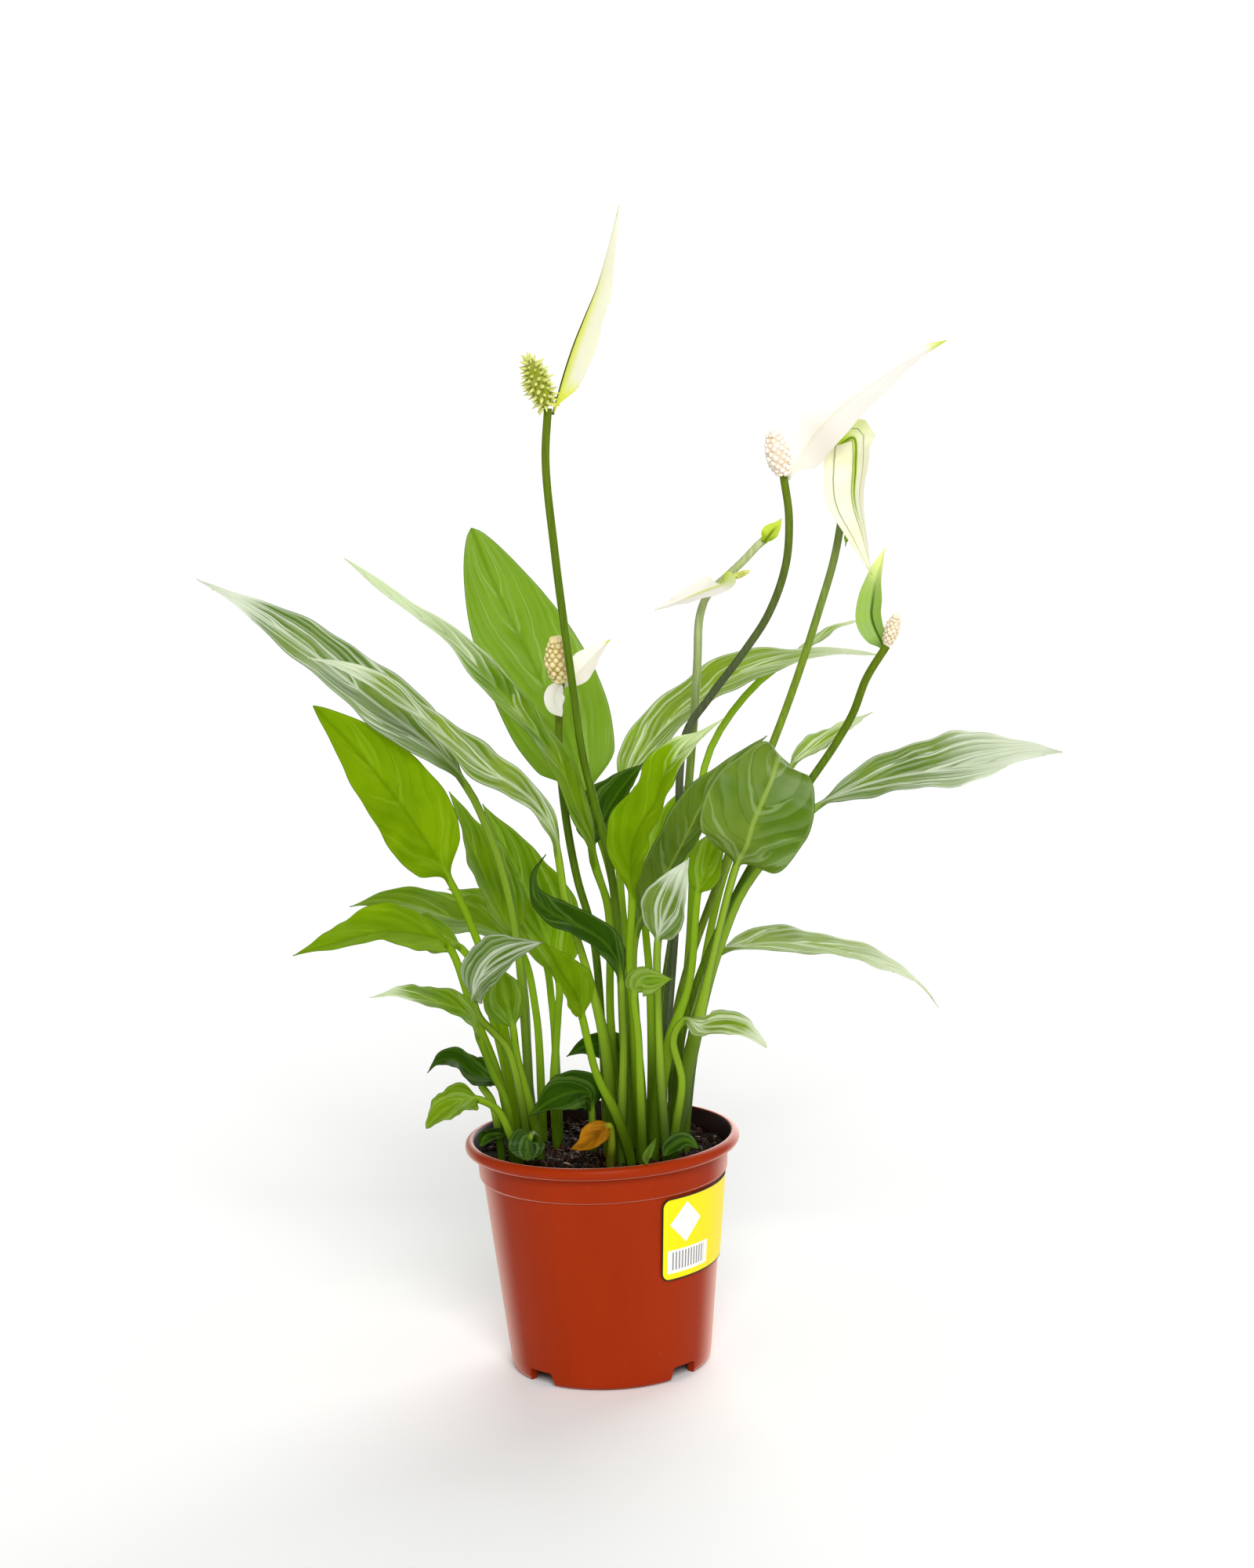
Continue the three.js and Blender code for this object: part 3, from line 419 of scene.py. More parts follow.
def start_material(name: str, *labels: str) -> tuple[bpy.types.Material, Tree, dict[str, Socket]]:
    """Start a material with an empty tree that reads marks of the mesh.

    Args:
        name: name of the material.
        labels: point attributes that it reads.

    Returns:
        The material, its tree and a value socket for each mark.
    """
    material = bpy.data.materials.new(name)
    material.use_nodes = True
    tree = material.node_tree
    tree.nodes.clear()
    marks = {
        label: add_node(tree, "ShaderNodeAttribute", attribute_name=label, out="Fac")
        for label in labels
    }
    return material, tree, marks


@functools.cache
def material_of(finish: Any) -> bpy.types.Material:
    """Build the material of a finish once and hand it out again afterwards."""
    return finish.build()


def cloud(
    tree: Tree, size_mm: float, detail: float, fine: float = 0.5, rise: float = 1.0,
) -> Socket:
    """Make an uneven pattern of a real size that is fixed to the piece.

    Args:
        tree: material tree.
        size_mm: size of the larger features.
        detail: number of finer layers.
        fine: weight of the finer layers.
        rise: change upwards for each change sideways; small values draw it out upright.

    Returns:
        Value socket, about 0.5 on average.
    """
    place = add_node(tree, "ShaderNodeTexCoord", out="Object")
    drawn = add_node(tree, "ShaderNodeMapping", {"Vector": place, "Scale": (1.0, 1.0, rise)})
    return add_node(
        tree, "ShaderNodeTexNoise",
        {"Vector": drawn, "Scale": per_metre(size_mm), "Detail": detail, "Roughness": fine},
    )


@dataclass(frozen=True)
class Coat:
    """A tone that covers a colour more and more as a value goes from start to end.

    share is how much it covers at the end; eased softens both ends of the change.
    """

    tone: str | Socket
    value: float | Socket
    start: float = 0.0
    end: float = 1.0
    share: float = 1.0
    eased: bool = False


def paint(tree: Tree, ground: str | Socket, *coats: Coat) -> Socket:
    """Lay coats over a ground colour, one after the other.

    Args:
        tree: material tree.
        ground: hex colour or colour socket under the coats.
        coats: tones from the lowest to the topmost.

    Returns:
        Colour socket.
    """
    colour = linear(ground) if isinstance(ground, str) else ground
    for coat in coats:
        cover = add_node(
            tree, "ShaderNodeMapRange",
            {"Value": coat.value, "From Min": coat.start, "From Max": coat.end, "To Max": coat.share},
            interpolation_type="SMOOTHSTEP" if coat.eased else "LINEAR",
        )
        tone = linear(coat.tone) if isinstance(coat.tone, str) else coat.tone
        colour = add_node(
            tree, "ShaderNodeMix", {0: cover, 6: colour, 7: tone}, data_type="RGBA", out=2,
        )
    return colour


@dataclass(frozen=True)
class Surface:
    """Polish, relief and glow under the colour of a finish.

    height is raised by strength over depth_mm; glow is the colour of the light that
    soaks through, and glow_share how much of the surface it takes.
    """

    roughness: float | Socket
    ior: float = 1.5
    gloss: float = 0.5
    height: Socket | None = None
    strength: float = 1.0
    depth_mm: float = 0.0
    glow: Socket | None = None
    glow_share: float = 0.0

    def close(self, tree: Tree, colour: Rgba | Socket) -> None:
        """End a material tree.

        Args:
            tree: material tree.
            colour: colour of the body.
        """
        body = {"Base Color": colour, "Roughness": self.roughness, "IOR": self.ior,
                "Specular IOR Level": self.gloss}
        if self.height is not None:
            body["Normal"] = add_node(
                tree, "ShaderNodeBump",
                {"Height": self.height, "Strength": self.strength, "Distance": self.depth_mm * MM},
            )
        shader = add_node(tree, "ShaderNodeBsdfPrincipled", body)
        if self.glow is not None:
            lit = add_node(tree, "ShaderNodeBsdfTranslucent", {"Color": self.glow})
            shader = add_node(tree, "ShaderNodeMixShader", {0: self.glow_share, 1: shader, 2: lit})
        add_node(tree, "ShaderNodeOutputMaterial", {"Surface": shader})


@dataclass(frozen=True)
class LeafSkin:
    """Living leaf: waxy cuticle over flesh that glows when the light is behind it.

    Between two side veins the blade bulges: each panel gets a painted highlight along
    one vein that fades to the next, painted silvery highlight streaks run with the veins
    and painted shade lies in the sunken veins. A share of the light comes through from
    the far side. The foot of the leaf is a juicy stalk with painted light and shade.
    """

    name: str
    flesh: str
    shade: str
    # Colour of the painted shade in the sunken veins and dark streaks, and of the thin margin line.
    vein: str
    # Colour of the painted highlights on crests, rims and streaks.
    sheen: str
    rib: str
    glow: str
    sheen_share: float = 0.4
    vein_share: float = 0.4
    rib_share: float = 0.5
    glow_share: float = 0.5
    roughness: float = 0.38
    gloss: float = 0.4
    quilt_mm: float = 0.4
    vein_spacing: float = 9.0
    vein_reach: float = 1.0

    MOTTLE_MM = 22.0
    GRAIN_MM = 1.6
    WANDER_MM = 30.0
    STRAY = 1.9
    # Painted highlights and painted shade: flow of the streaks, weights of the highlight crests, the
    # rim light and the dark shade streaks.
    STREAK_FLOW = (2.3, 0.05, 1.2)
    CREST_WEIGHT = 0.4
    RIM_LIGHT_WEIGHT = 0.7
    SHADE_STREAK_WEIGHT = 0.8
    EDGE_SHARE = 0.7
    GLOW_TINT = 0.7
    # Painted glare of the backlight: its gain, the lead of the highlights, white and grey veins.
    GLARE_GAIN = 1.7
    BRIGHT_LEAD = 0.7
    GLARE_WHITE = "#F8FAF4"
    GLARE_VEIN = "#A9B49E"
    # Stalk colours: base green, a painted highlight along the middle, painted shade on the sides and
    # painted shade at the foot by the peat.
    STALK = "#5A7C08"
    STALK_HIGHLIGHT = "#A0C232"
    STALK_SIDE_SHADE = "#36540A"
    STALK_FOOT_SHADE = "#223F06"
    STALK_SHARE = 0.85

    def build(self) -> bpy.types.Material:
        """Build the leaf material.

        Returns:
            Material that reads the marks vein, rib, edge, stalk, foot and bleach (painted glare).
        """
        material, tree, marks = start_material(
            self.name, "vein", "rib", "edge", "stalk", "foot", "bleach",
        )
        wander, mottle, grain = (
            cloud(tree, size, detail)
            for size, detail in ((self.WANDER_MM, 2.0), (self.MOTTLE_MM, 4.0), (self.GRAIN_MM, 2.0))
        )
        strayed = add_node(
            tree, "ShaderNodeMath", {0: wander, 1: self.STRAY, 2: marks["vein"]},
            operation="MULTIPLY_ADD",
        )
        panel = add_node(tree, "ShaderNodeMath", {0: strayed}, operation="FRACT")
        bright, dark, vein_shade = self._light(tree, marks, strayed, panel, mottle)
        stalk = self._stalk(tree, marks["rib"], marks["foot"])
        # Painted glare: the blade blown out to white, with grey sunken veins.
        glared = paint(tree, self.GLARE_WHITE, Coat(self.GLARE_VEIN, vein_shade))
        colour = paint(
            tree, self.shade,
            Coat(self.flesh, mottle, 0.36, 0.64, eased=True),
            # Painted shade in the sunken veins and along dark streaks.
            Coat(self.vein, dark, share=self.vein_share),
            # Painted highlights: crests, rim light and silvery streaks.
            Coat(self.sheen, bright, share=self.sheen_share),
            Coat(self.rib, marks["rib"], 1.4, 0.4, self.rib_share, eased=True),
            Coat(self.vein, marks["edge"], 0.55, 0.25, self.EDGE_SHARE, eased=True),
            # The stalk, with its painted highlight and painted shade.
            Coat(stalk, marks["stalk"]),
            # Painted glare over the outer part of the blade.
            Coat(glared, self._glare_cover(tree, marks["bleach"], bright)),
        )
        bulge = add_node(tree, "ShaderNodeMath", {0: panel, 1: 1.0, 2: 0.5}, operation="PINGPONG")
        ripple = add_node(
            tree, "ShaderNodeMath", {0: grain, 1: 0.1, 2: bulge}, operation="MULTIPLY_ADD",
        )
        shine = add_node(
            tree, "ShaderNodeMapRange",
            {"Value": grain, "To Min": self.roughness - 0.05, "To Max": self.roughness + 0.08},
        )
        through = paint(tree, colour, Coat(self.glow, self.GLOW_TINT))
        Surface(
            shine, 1.45, self.gloss, ripple, 0.5, self.quilt_mm, through, self.glow_share,
        ).close(tree, colour)
        return material

    def _light(
        self,
        tree: Tree,
        marks: Mapping[str, Socket],
        strayed: Socket,
        panel: Socket,
        mottle: Socket,
    ) -> tuple[Socket, Socket, Socket]:
        """Find where the blade gets painted highlights and painted shade.

        Args:
            tree: material tree.
            marks: value sockets of the mesh's marks.
            strayed: number of the side vein, uneven across the blade.
            panel: 0 at one side vein, 1 at the next.
            mottle: uneven patches.

        Returns:
            Sockets: painted highlight, 1 on crests, rims and streaks; painted shade, 1 in
                dark streaks and along the side veins; and painted shade along the side veins alone.
        """
        flow = add_node(tree, "ShaderNodeCombineXYZ", {0: strayed, 1: marks["rib"], 2: mottle})
        drawn = add_node(tree, "ShaderNodeMapping", {"Vector": flow, "Scale": self.STREAK_FLOW})
        gleam = add_node(tree, "ShaderNodeTexNoise", {"Vector": drawn, "Scale": 1.0, "Detail": 3.0})
        rise, fall, vein_shade, rim_light, lively, streak, shade_streak = (
            add_node(
                tree, "ShaderNodeMapRange", {"Value": value, "From Min": start, "From Max": end},
                interpolation_type="SMOOTHSTEP",
            )
            for value, start, end in (
                (panel, 0.0, 0.14), (panel, 0.8, 0.12), (panel, 0.88, 0.98),
                (marks["edge"], 1.6, 0.6), (mottle, 0.64, 0.42), (gleam, 0.58, 0.64),
                (gleam, 0.44, 0.32),
            )
        )
        # Painted highlight: bright just past each side vein, fading across the panel, in some patches
        # only.
        crest = rise
        for factor in (fall, lively):
            crest = add_node(tree, "ShaderNodeMath", {0: crest, 1: factor}, operation="MULTIPLY")
        # Painted highlight: crests plus light streaks; painted shade: dark streaks plus the sunken
        # veins.
        crest, dark = (
            add_node(
                tree, "ShaderNodeMath", {0: value, 1: weight, 2: more}, operation="MULTIPLY_ADD",
                use_clamp=True,
            )
            for value, weight, more in (
                (crest, self.CREST_WEIGHT, streak), (shade_streak, self.SHADE_STREAK_WEIGHT, vein_shade),
            )
        )
        # Painted rim light along the margin.
        rim_light = add_node(tree, "ShaderNodeMath", {0: rim_light, 1: self.RIM_LIGHT_WEIGHT}, operation="MULTIPLY")
        bright = add_node(tree, "ShaderNodeMath", {0: crest, 1: rim_light}, operation="MAXIMUM")
        return bright, dark, vein_shade

    def _glare_cover(self, tree: Tree, bleach: Socket, bright: Socket) -> Socket:
        """Share of painted glare, which takes the bright crests first and the hollows last.

        Args:
            tree: material tree.
            bleach: how far painted glare washes the blade out here.
            bright: 1 on painted highlights, on crests, rims and streaks.

        Returns:
            Share socket.
        """
        late = add_node(
            tree, "ShaderNodeMath", {0: bleach, 1: self.GLARE_GAIN, 2: -self.BRIGHT_LEAD},
            operation="MULTIPLY_ADD",
        )
        return add_node(
            tree, "ShaderNodeMath", {0: bright, 1: self.BRIGHT_LEAD, 2: late},
            operation="MULTIPLY_ADD", use_clamp=True,
        )

    def _stalk(self, tree: Tree, rib: Socket, foot: Socket) -> Socket:
        """Colour of the stalk, with a painted highlight along its middle and painted shade to its
        sides and foot.

        Args:
            tree: material tree.
            rib: millimetres from the middle line.
            foot: 0 in the peat, 1 at the blade.

        Returns:
            Colour socket.
        """
        side = add_node(tree, "ShaderNodeLayerWeight", {"Blend": 0.5}, out="Facing")
        return paint(
            tree, self.STALK,
            # Painted highlight along the middle, painted shade on the sides and at the foot.
            Coat(self.STALK_HIGHLIGHT, rib, 2.2, 0.3, eased=True),
            Coat(self.STALK_SIDE_SHADE, side, 0.2, 0.8, self.STALK_SHARE, eased=True),
            Coat(self.STALK_FOOT_SHADE, foot, 0.55, 0.1, self.STALK_SHARE, eased=True),
        )


class LeafLook(Enum):
    """How the light finds a leaf in the portrait: each look is a lit or shaded copy of leaf green,
    with painted highlights.
    """

    # Painted light: a brighter, yellower copy for leaves with the backlight shining through.
    SUNLIT = LeafSkin(
        "leaf_sunlit", "#8AAA0C", "#6F9403", "#4E6E06", "#A9C43C", "#557806", "#D0E838",
        sheen_share=0.4, vein_share=0.3, rib_share=0.6, glow_share=0.66, roughness=0.5,
        gloss=0.06, vein_spacing=14.0, vein_reach=1.0,
    )
    HAZY = LeafSkin(
        "leaf_hazy_green", "#8AA93C", "#7A9C1C", "#587A1C", "#CCDCAA", "#5E8212", "#C0DC50",
        sheen_share=0.36, vein_share=0.35, rib_share=0.6, glow_share=0.6, roughness=0.45,
        gloss=0.15, vein_spacing=20.0, vein_reach=2.0,
    )
    MEADOW = LeafSkin(
        "leaf_meadow_green", "#84A416", "#5E8402", "#3C5E02", "#C6D884", "#A2BE4C", "#CCE83C",
        sheen_share=0.5, vein_share=0.5, rib_share=0.5, glow_share=0.56, gloss=0.12,
        vein_spacing=16.0, vein_reach=1.6,
    )
    # Painted highlights: pale silvery streaks of reflected light along the veins.
    STRIPED = LeafSkin(
        "leaf_highlight_striped", "#86A146", "#5F8224", "#42621C", "#EEF2E6", "#EEF2E6", "#C6DE78",
        sheen_share=0.9, vein_share=0.6, rib_share=0.8, glow_share=0.42, roughness=0.33,
        gloss=0.3, quilt_mm=0.5, vein_spacing=20.0, vein_reach=2.4,
    )
    # Painted highlights: pale bands of reflected light along the veins on lime green.
    BANDED = LeafSkin(
        "leaf_lime_highlight_banded", "#9CB63E", "#7A9822", "#5A7A20", "#F4F7EE", "#EEF3DC", "#D4EA5E",
        sheen_share=0.9, vein_share=0.5, rib_share=0.7, glow_share=0.5, roughness=0.36,
        gloss=0.2, quilt_mm=0.5, vein_spacing=18.0, vein_reach=2.2,
    )
    SATIN = LeafSkin(
        "leaf_satin_olive", "#738E2C", "#587A0E", "#466608", "#A9BE84", "#A4BC52", "#BEDA50",
        sheen_share=0.5, vein_share=0.45, rib_share=0.75, glow_share=0.34, roughness=0.36,
        gloss=0.25, quilt_mm=0.6, vein_spacing=11.0, vein_reach=0.55,
    )
    # Painted shade: a darker copy for leaves that lie in shadow.
    DEEP = LeafSkin(
        "leaf_shaded_deep_green", "#345803", "#1A3C01", "#142E02", "#7C9C48", "#5A7E16", "#8EBA14",
        sheen_share=0.45, vein_share=0.5, rib_share=0.5, glow_share=0.4, roughness=0.33,
        gloss=0.14, vein_spacing=13.0, vein_reach=1.3,
    )
    WITHERED = LeafSkin(
        "leaf_withered", "#D08E0C", "#965E06", "#5E3A06", "#E8B030", "#7A4E0A", "#F8C43A",
        sheen_share=0.4, vein_share=0.5, rib_share=0.5, glow_share=0.5, roughness=0.6,
        gloss=0.1, vein_spacing=6.0, vein_reach=0.8,
    )


@dataclass(frozen=True)
class SpatheSkin:
    """Petal-like bract: soft, thin and nearly white, so that light soaks through it."""

    name: str
    face: str
    shade: str
    keel: str
    tip: str
    vein: str
    blush: str
    vein_share: float = 0.2
    vein_rate: float = 1.0
    keel_mm: float = 1.0
    blush_mm: float = 6.0
    blush_till: float = 0.3
    tip_from: float = 0.93

    CLOUD_MM = 12.0

    def build(self) -> bpy.types.Material:
        """Build the bract material.

        Returns:
            Material that reads the marks vein, rib and along.
        """
        material, tree, marks = start_material(self.name, "vein", "rib", "along")
        clouded = cloud(tree, self.CLOUD_MM, 2.0)
        turn = add_node(
            tree, "ShaderNodeMath", {0: marks["vein"], 1: TURN * self.vein_rate, 2: clouded},
            operation="MULTIPLY_ADD",
        )
        wave = add_node(tree, "ShaderNodeMath", {0: turn}, operation="SINE")
        keel, near, fade, low = (
            add_node(
                tree, "ShaderNodeMapRange", {"Value": value, "From Min": start, "From Max": end},
                interpolation_type="SMOOTHSTEP",
            )
            for value, start, end in (
                (marks["rib"], self.keel_mm, self.keel_mm * 0.4),
                (marks["rib"], self.blush_mm, 0.5),
                (marks["along"], 0.8, 0.35),
                (marks["along"], self.blush_till, self.blush_till * 0.3),
            )
        )
        keel, near = (
            add_node(tree, "ShaderNodeMath", {0: band, 1: fade}, operation="MULTIPLY")
            for band in (keel, near)
        )
        flush = add_node(tree, "ShaderNodeMath", {0: near, 1: low}, operation="MAXIMUM")
        colour = paint(
            tree, self.face,
            Coat(self.shade, clouded),
            Coat(self.blush, flush),
            Coat(self.vein, wave, 0.95, 1.0, self.vein_share, eased=True),
            Coat(self.keel, keel),
            Coat(self.tip, marks["along"], self.tip_from, eased=True),
        )
        Surface(0.6, 1.42, 0.3, glow=colour, glow_share=0.6).close(tree, colour)
        return material


class SpatheLook(Enum):
    """Stages of a spathe, from fresh lemon white to old green."""

    LEMON = SpatheSkin(
        "spathe_lemon_white", "#FFFFF6", "#FFFFEA", "#566A06", "#F2F6A0", "#F0F4B4", "#F6FA7C",
        keel_mm=2.2, blush_mm=12.0, blush_till=0.2,
    )
    HOOD = SpatheSkin(
        "spathe_pinkish_white", "#FFFDFA", "#FFFAF5", "#F8F4E8", "#E2EE5C", "#FBF8F2", "#FCFBF2",
        keel_mm=0.6, blush_mm=1.0, blush_till=0.16, tip_from=0.88,
    )
    OPENING = SpatheSkin(
        "spathe_opening_white", "#FFFDFA", "#FFFAF5", "#EEF2B8", "#F4F6DC", "#F6F1EA", "#D8E86A",
        keel_mm=0.8, blush_mm=1.0, blush_till=0.3,
    )
    DROOPING = SpatheSkin(
        "spathe_drooping_cream", "#FFFEF8", "#FCFADC", "#86A03A", "#E0EE80", "#84983C", "#CFE63C",
        vein_share=0.7, vein_rate=0.3, keel_mm=0.6, blush_mm=1.6, blush_till=0.2,
    )
    GREENED = SpatheSkin(
        "spathe_turned_green", "#BAD0A6", "#BEDA3C", "#6C8C1E", "#FAFCC4", "#8CAC5E", "#9CBC68",
        vein_share=0.4, vein_rate=0.5, keel_mm=0.9, blush_mm=1.0, blush_till=0.2, tip_from=0.5,
    )
    BUD = SpatheSkin(
        "spathe_bud_yellow", "#F0F68C", "#DDEE4E", "#9CB420", "#D6EA3C", "#C9D86A", "#C8E038",
        keel_mm=0.7, blush_mm=1.0, blush_till=0.4,
    )


@dataclass(frozen=True)
class StemSkin:
    """Flower stem: firm fleshy stalk with a dull waxy bloom, fine length-wise ribs and a painted rim
    light on its edges.
    """

    name: str
    low: str
    high: str
    # Colour of the painted rim light on the edges that turn away.
    rim_light: str
    roughness: float = 0.45

    FLECK_MM = 1.1
    FLECK_RISE = 0.08

    def build(self) -> bpy.types.Material:
        """Build the stem material.

        Returns:
            Material that takes the high colour at the top end of the mark along.
        """
        material, tree, marks = start_material(self.name, "along")
        fleck = cloud(tree, self.FLECK_MM, 3.0, rise=self.FLECK_RISE)
        side = add_node(tree, "ShaderNodeLayerWeight", {"Blend": 0.5}, out="Facing")
        ripe = paint(tree, self.low, Coat(self.high, marks["along"], 0.7, 0.98))
        dark = add_node(tree, "ShaderNodeHueSaturation", {"Value": 0.72, "Color": ripe})
        colour = paint(
            tree, dark,
            Coat(ripe, fleck, 0.35, 0.65),
            # Painted rim light where the stem turns away from view.
            Coat(self.rim_light, side, 0.55, 0.95, 0.6, eased=True),
        )
        Surface(self.roughness, 1.45, 0.15, fleck, 0.4, 0.15).close(tree, colour)
        return material


class StemLook(Enum):
    """Colours of flower stems."""

    FRESH = StemSkin("flower_stem_fresh", "#567408", "#647A0E", "#B8CC50")
    OLIVE = StemSkin("flower_stem_olive_grey", "#525C3C", "#667C12", "#A0A888")
    SAGE = StemSkin("flower_stem_sage", "#7C9626", "#7E8C5C", "#B4C084")
    PALE = StemSkin("flower_stem_pale", "#6E8834", "#C4D094", "#DCE4BC")


@dataclass(frozen=True)
class SpadixSkin:
    """Spadix: hundreds of tiny mealy flowers, matt and dusty with pollen."""

    name: str
    crown: str
    pit: str

    MEAL_MM = 0.9
    BLOTCH_MM = 3.5

    def build(self) -> bpy.types.Material:
        """Build the spadix material, paler on the florets than between them."""
        material, tree, marks = start_material(self.name, "crown")
        meal, blotch = cloud(tree, self.MEAL_MM, 3.0), cloud(tree, self.BLOTCH_MM, 2.0)
        raised = add_node(
            tree, "ShaderNodeMath", {0: blotch, 1: 0.6, 2: marks["crown"]}, operation="MULTIPLY_ADD",
        )
        colour = paint(tree, self.pit, Coat(self.crown, raised, 0.2, 1.1))
        Surface(0.8, 1.4, 0.2, meal, 0.6, 0.25).close(tree, colour)
        return material


class SpadixLook(Enum):
    """Ages of a spadix."""

    GREEN = SpadixSkin("spadix_yellow_green", "#E2E486", "#8C981C")
    BLUSH = SpadixSkin("spadix_pinkish_beige", "#FDF3E8", "#EBD0B0")
    BEIGE = SpadixSkin("spadix_beige", "#F8EBD2", "#D8BC8C")
    CREAM = SpadixSkin("spadix_cream", "#F3E2AC", "#B49A50")


@dataclass(frozen=True)
class PotPlastic:
    """Injection-moulded polypropylene: satin terracotta with faint flow marks, a painted sheen on the
    sides and painted shade on the inner wall.
    """

    axis: Point = (0.0, 0.0, 0.0)
    name: str = "pot_moulded_polypropylene"
    body: str = "#A23006"
    flow: str = "#922803"
    scuff: str = "#BC5430"
    # Painted sheen: reflection of the white room where the wall turns away.
    grazing_sheen: str = "#F0B6A4"
    # Painted shade on the inner wall.
    inner_shade: str = "#1E0A05"

    FLOW_MM = 26.0
    FLOW_RISE = 0.22
    RUB_MM = 3.2
    PEEL_MM = 1.4
    # Painted shade on the inner wall: where it starts and where it is full.
    UNSHADED_TILL = -22.0 * MM
    SHADED_FROM = -40.0 * MM

    def build(self) -> bpy.types.Material:
        """Build the pot material."""
        material, tree, _ = start_material(self.name)
        flow = cloud(tree, self.FLOW_MM, 3.0, rise=self.FLOW_RISE)
        rub = cloud(tree, self.RUB_MM, 8.0, fine=0.72)
        orange_peel = cloud(tree, self.PEEL_MM, 2.0)
        shine = add_node(tree, "ShaderNodeMapRange", {"Value": rub, "To Min": 0.3, "To Max": 0.46})
        side = add_node(tree, "ShaderNodeLayerWeight", {"Blend": 0.5}, out="Facing")
        colour = paint(
            tree, self.flow,
            Coat(self.body, flow),
            Coat(self.scuff, rub, 0.6, 0.78, 0.35),
            # Painted sheen, paler where the wall turns away from view.
            Coat(self.grazing_sheen, side, 0.5, 0.95, 0.8, eased=True),
            # Painted shade on the inner wall, which faces the axis.
            Coat(self.inner_shade, self._outwards(tree), self.UNSHADED_TILL, self.SHADED_FROM),
        )
        Surface(shine, 1.49, 0.08, orange_peel, 0.25, 0.05).close(tree, colour)
        return material

    def _outwards(self, tree: Tree) -> Socket:
        """Measure how squarely the surface faces away from the pot's axis.

        Args:
            tree: material tree.

        Returns:
            Distance from the axis in metres, as a share of the turn: plus on the outer
            wall, minus on the inner wall, near zero on level faces.
        """
        place = add_node(tree, "ShaderNodeTexCoord", out="Object")
        reach = add_node(
            tree, "ShaderNodeVectorMath", {0: place, 1: self.axis}, operation="SUBTRACT",
        )
        flat = add_node(
            tree, "ShaderNodeVectorMath", {0: reach, 1: (1.0, 1.0, 0.0)}, operation="MULTIPLY",
        )
        normal = add_node(tree, "ShaderNodeNewGeometry", out="Normal")
        return add_node(
            tree, "ShaderNodeVectorMath", {0: flat, 1: normal}, operation="DOT_PRODUCT", out="Value",
        )


@dataclass(frozen=True)
class Peat:
    """Moist peat: dark, crumbly and matt, with brown flecks of root and bark."""

    name: str = "peat_moist"
    wet: str = "#090503"
    brown: str = "#26150D"
    crumb_mm: float = 3.0

    def build(self) -> bpy.types.Material:
        """Build the peat material."""
        material, tree, _ = start_material(self.name)
        crumb = cloud(tree, self.crumb_mm, 8.0, fine=0.7)
        colour = paint(tree, self.wet, Coat(self.brown, crumb, 0.42, 0.72))
        Surface(0.9, 1.4, 0.12, crumb, 0.9, 1.2).close(tree, colour)
        return material


@dataclass(frozen=True)
class LitterSkin:
    """Bits lying in the peat: dull broken surfaces with a little colour variation."""

    name: str
    dark: str
    light: str
    roughness: float = 0.8
    grain_mm: float = 1.8

    def build(self) -> bpy.types.Material:
        """Build the litter material."""
        material, tree, _ = start_material(self.name)
        grain = cloud(tree, self.grain_mm, 3.0)
        colour = paint(tree, self.dark, Coat(self.light, grain, 0.36, 0.64))
        Surface(self.roughness, 1.45, 0.15, grain, 0.6, 0.3).close(tree, colour)
        return material


class LitterLook(Enum):
    """Kinds of bits lying in the peat."""

    BARK = LitterSkin("peat_bark_crumbs", "#0A0502", "#3C2012", 0.55)
    FIBRE = LitterSkin("peat_root_fibres", "#7A5038", "#D9BCA0", 0.7)
    GRIT = LitterSkin("perlite_grit", "#CFCBC2", "#F2F0EA", 0.9)


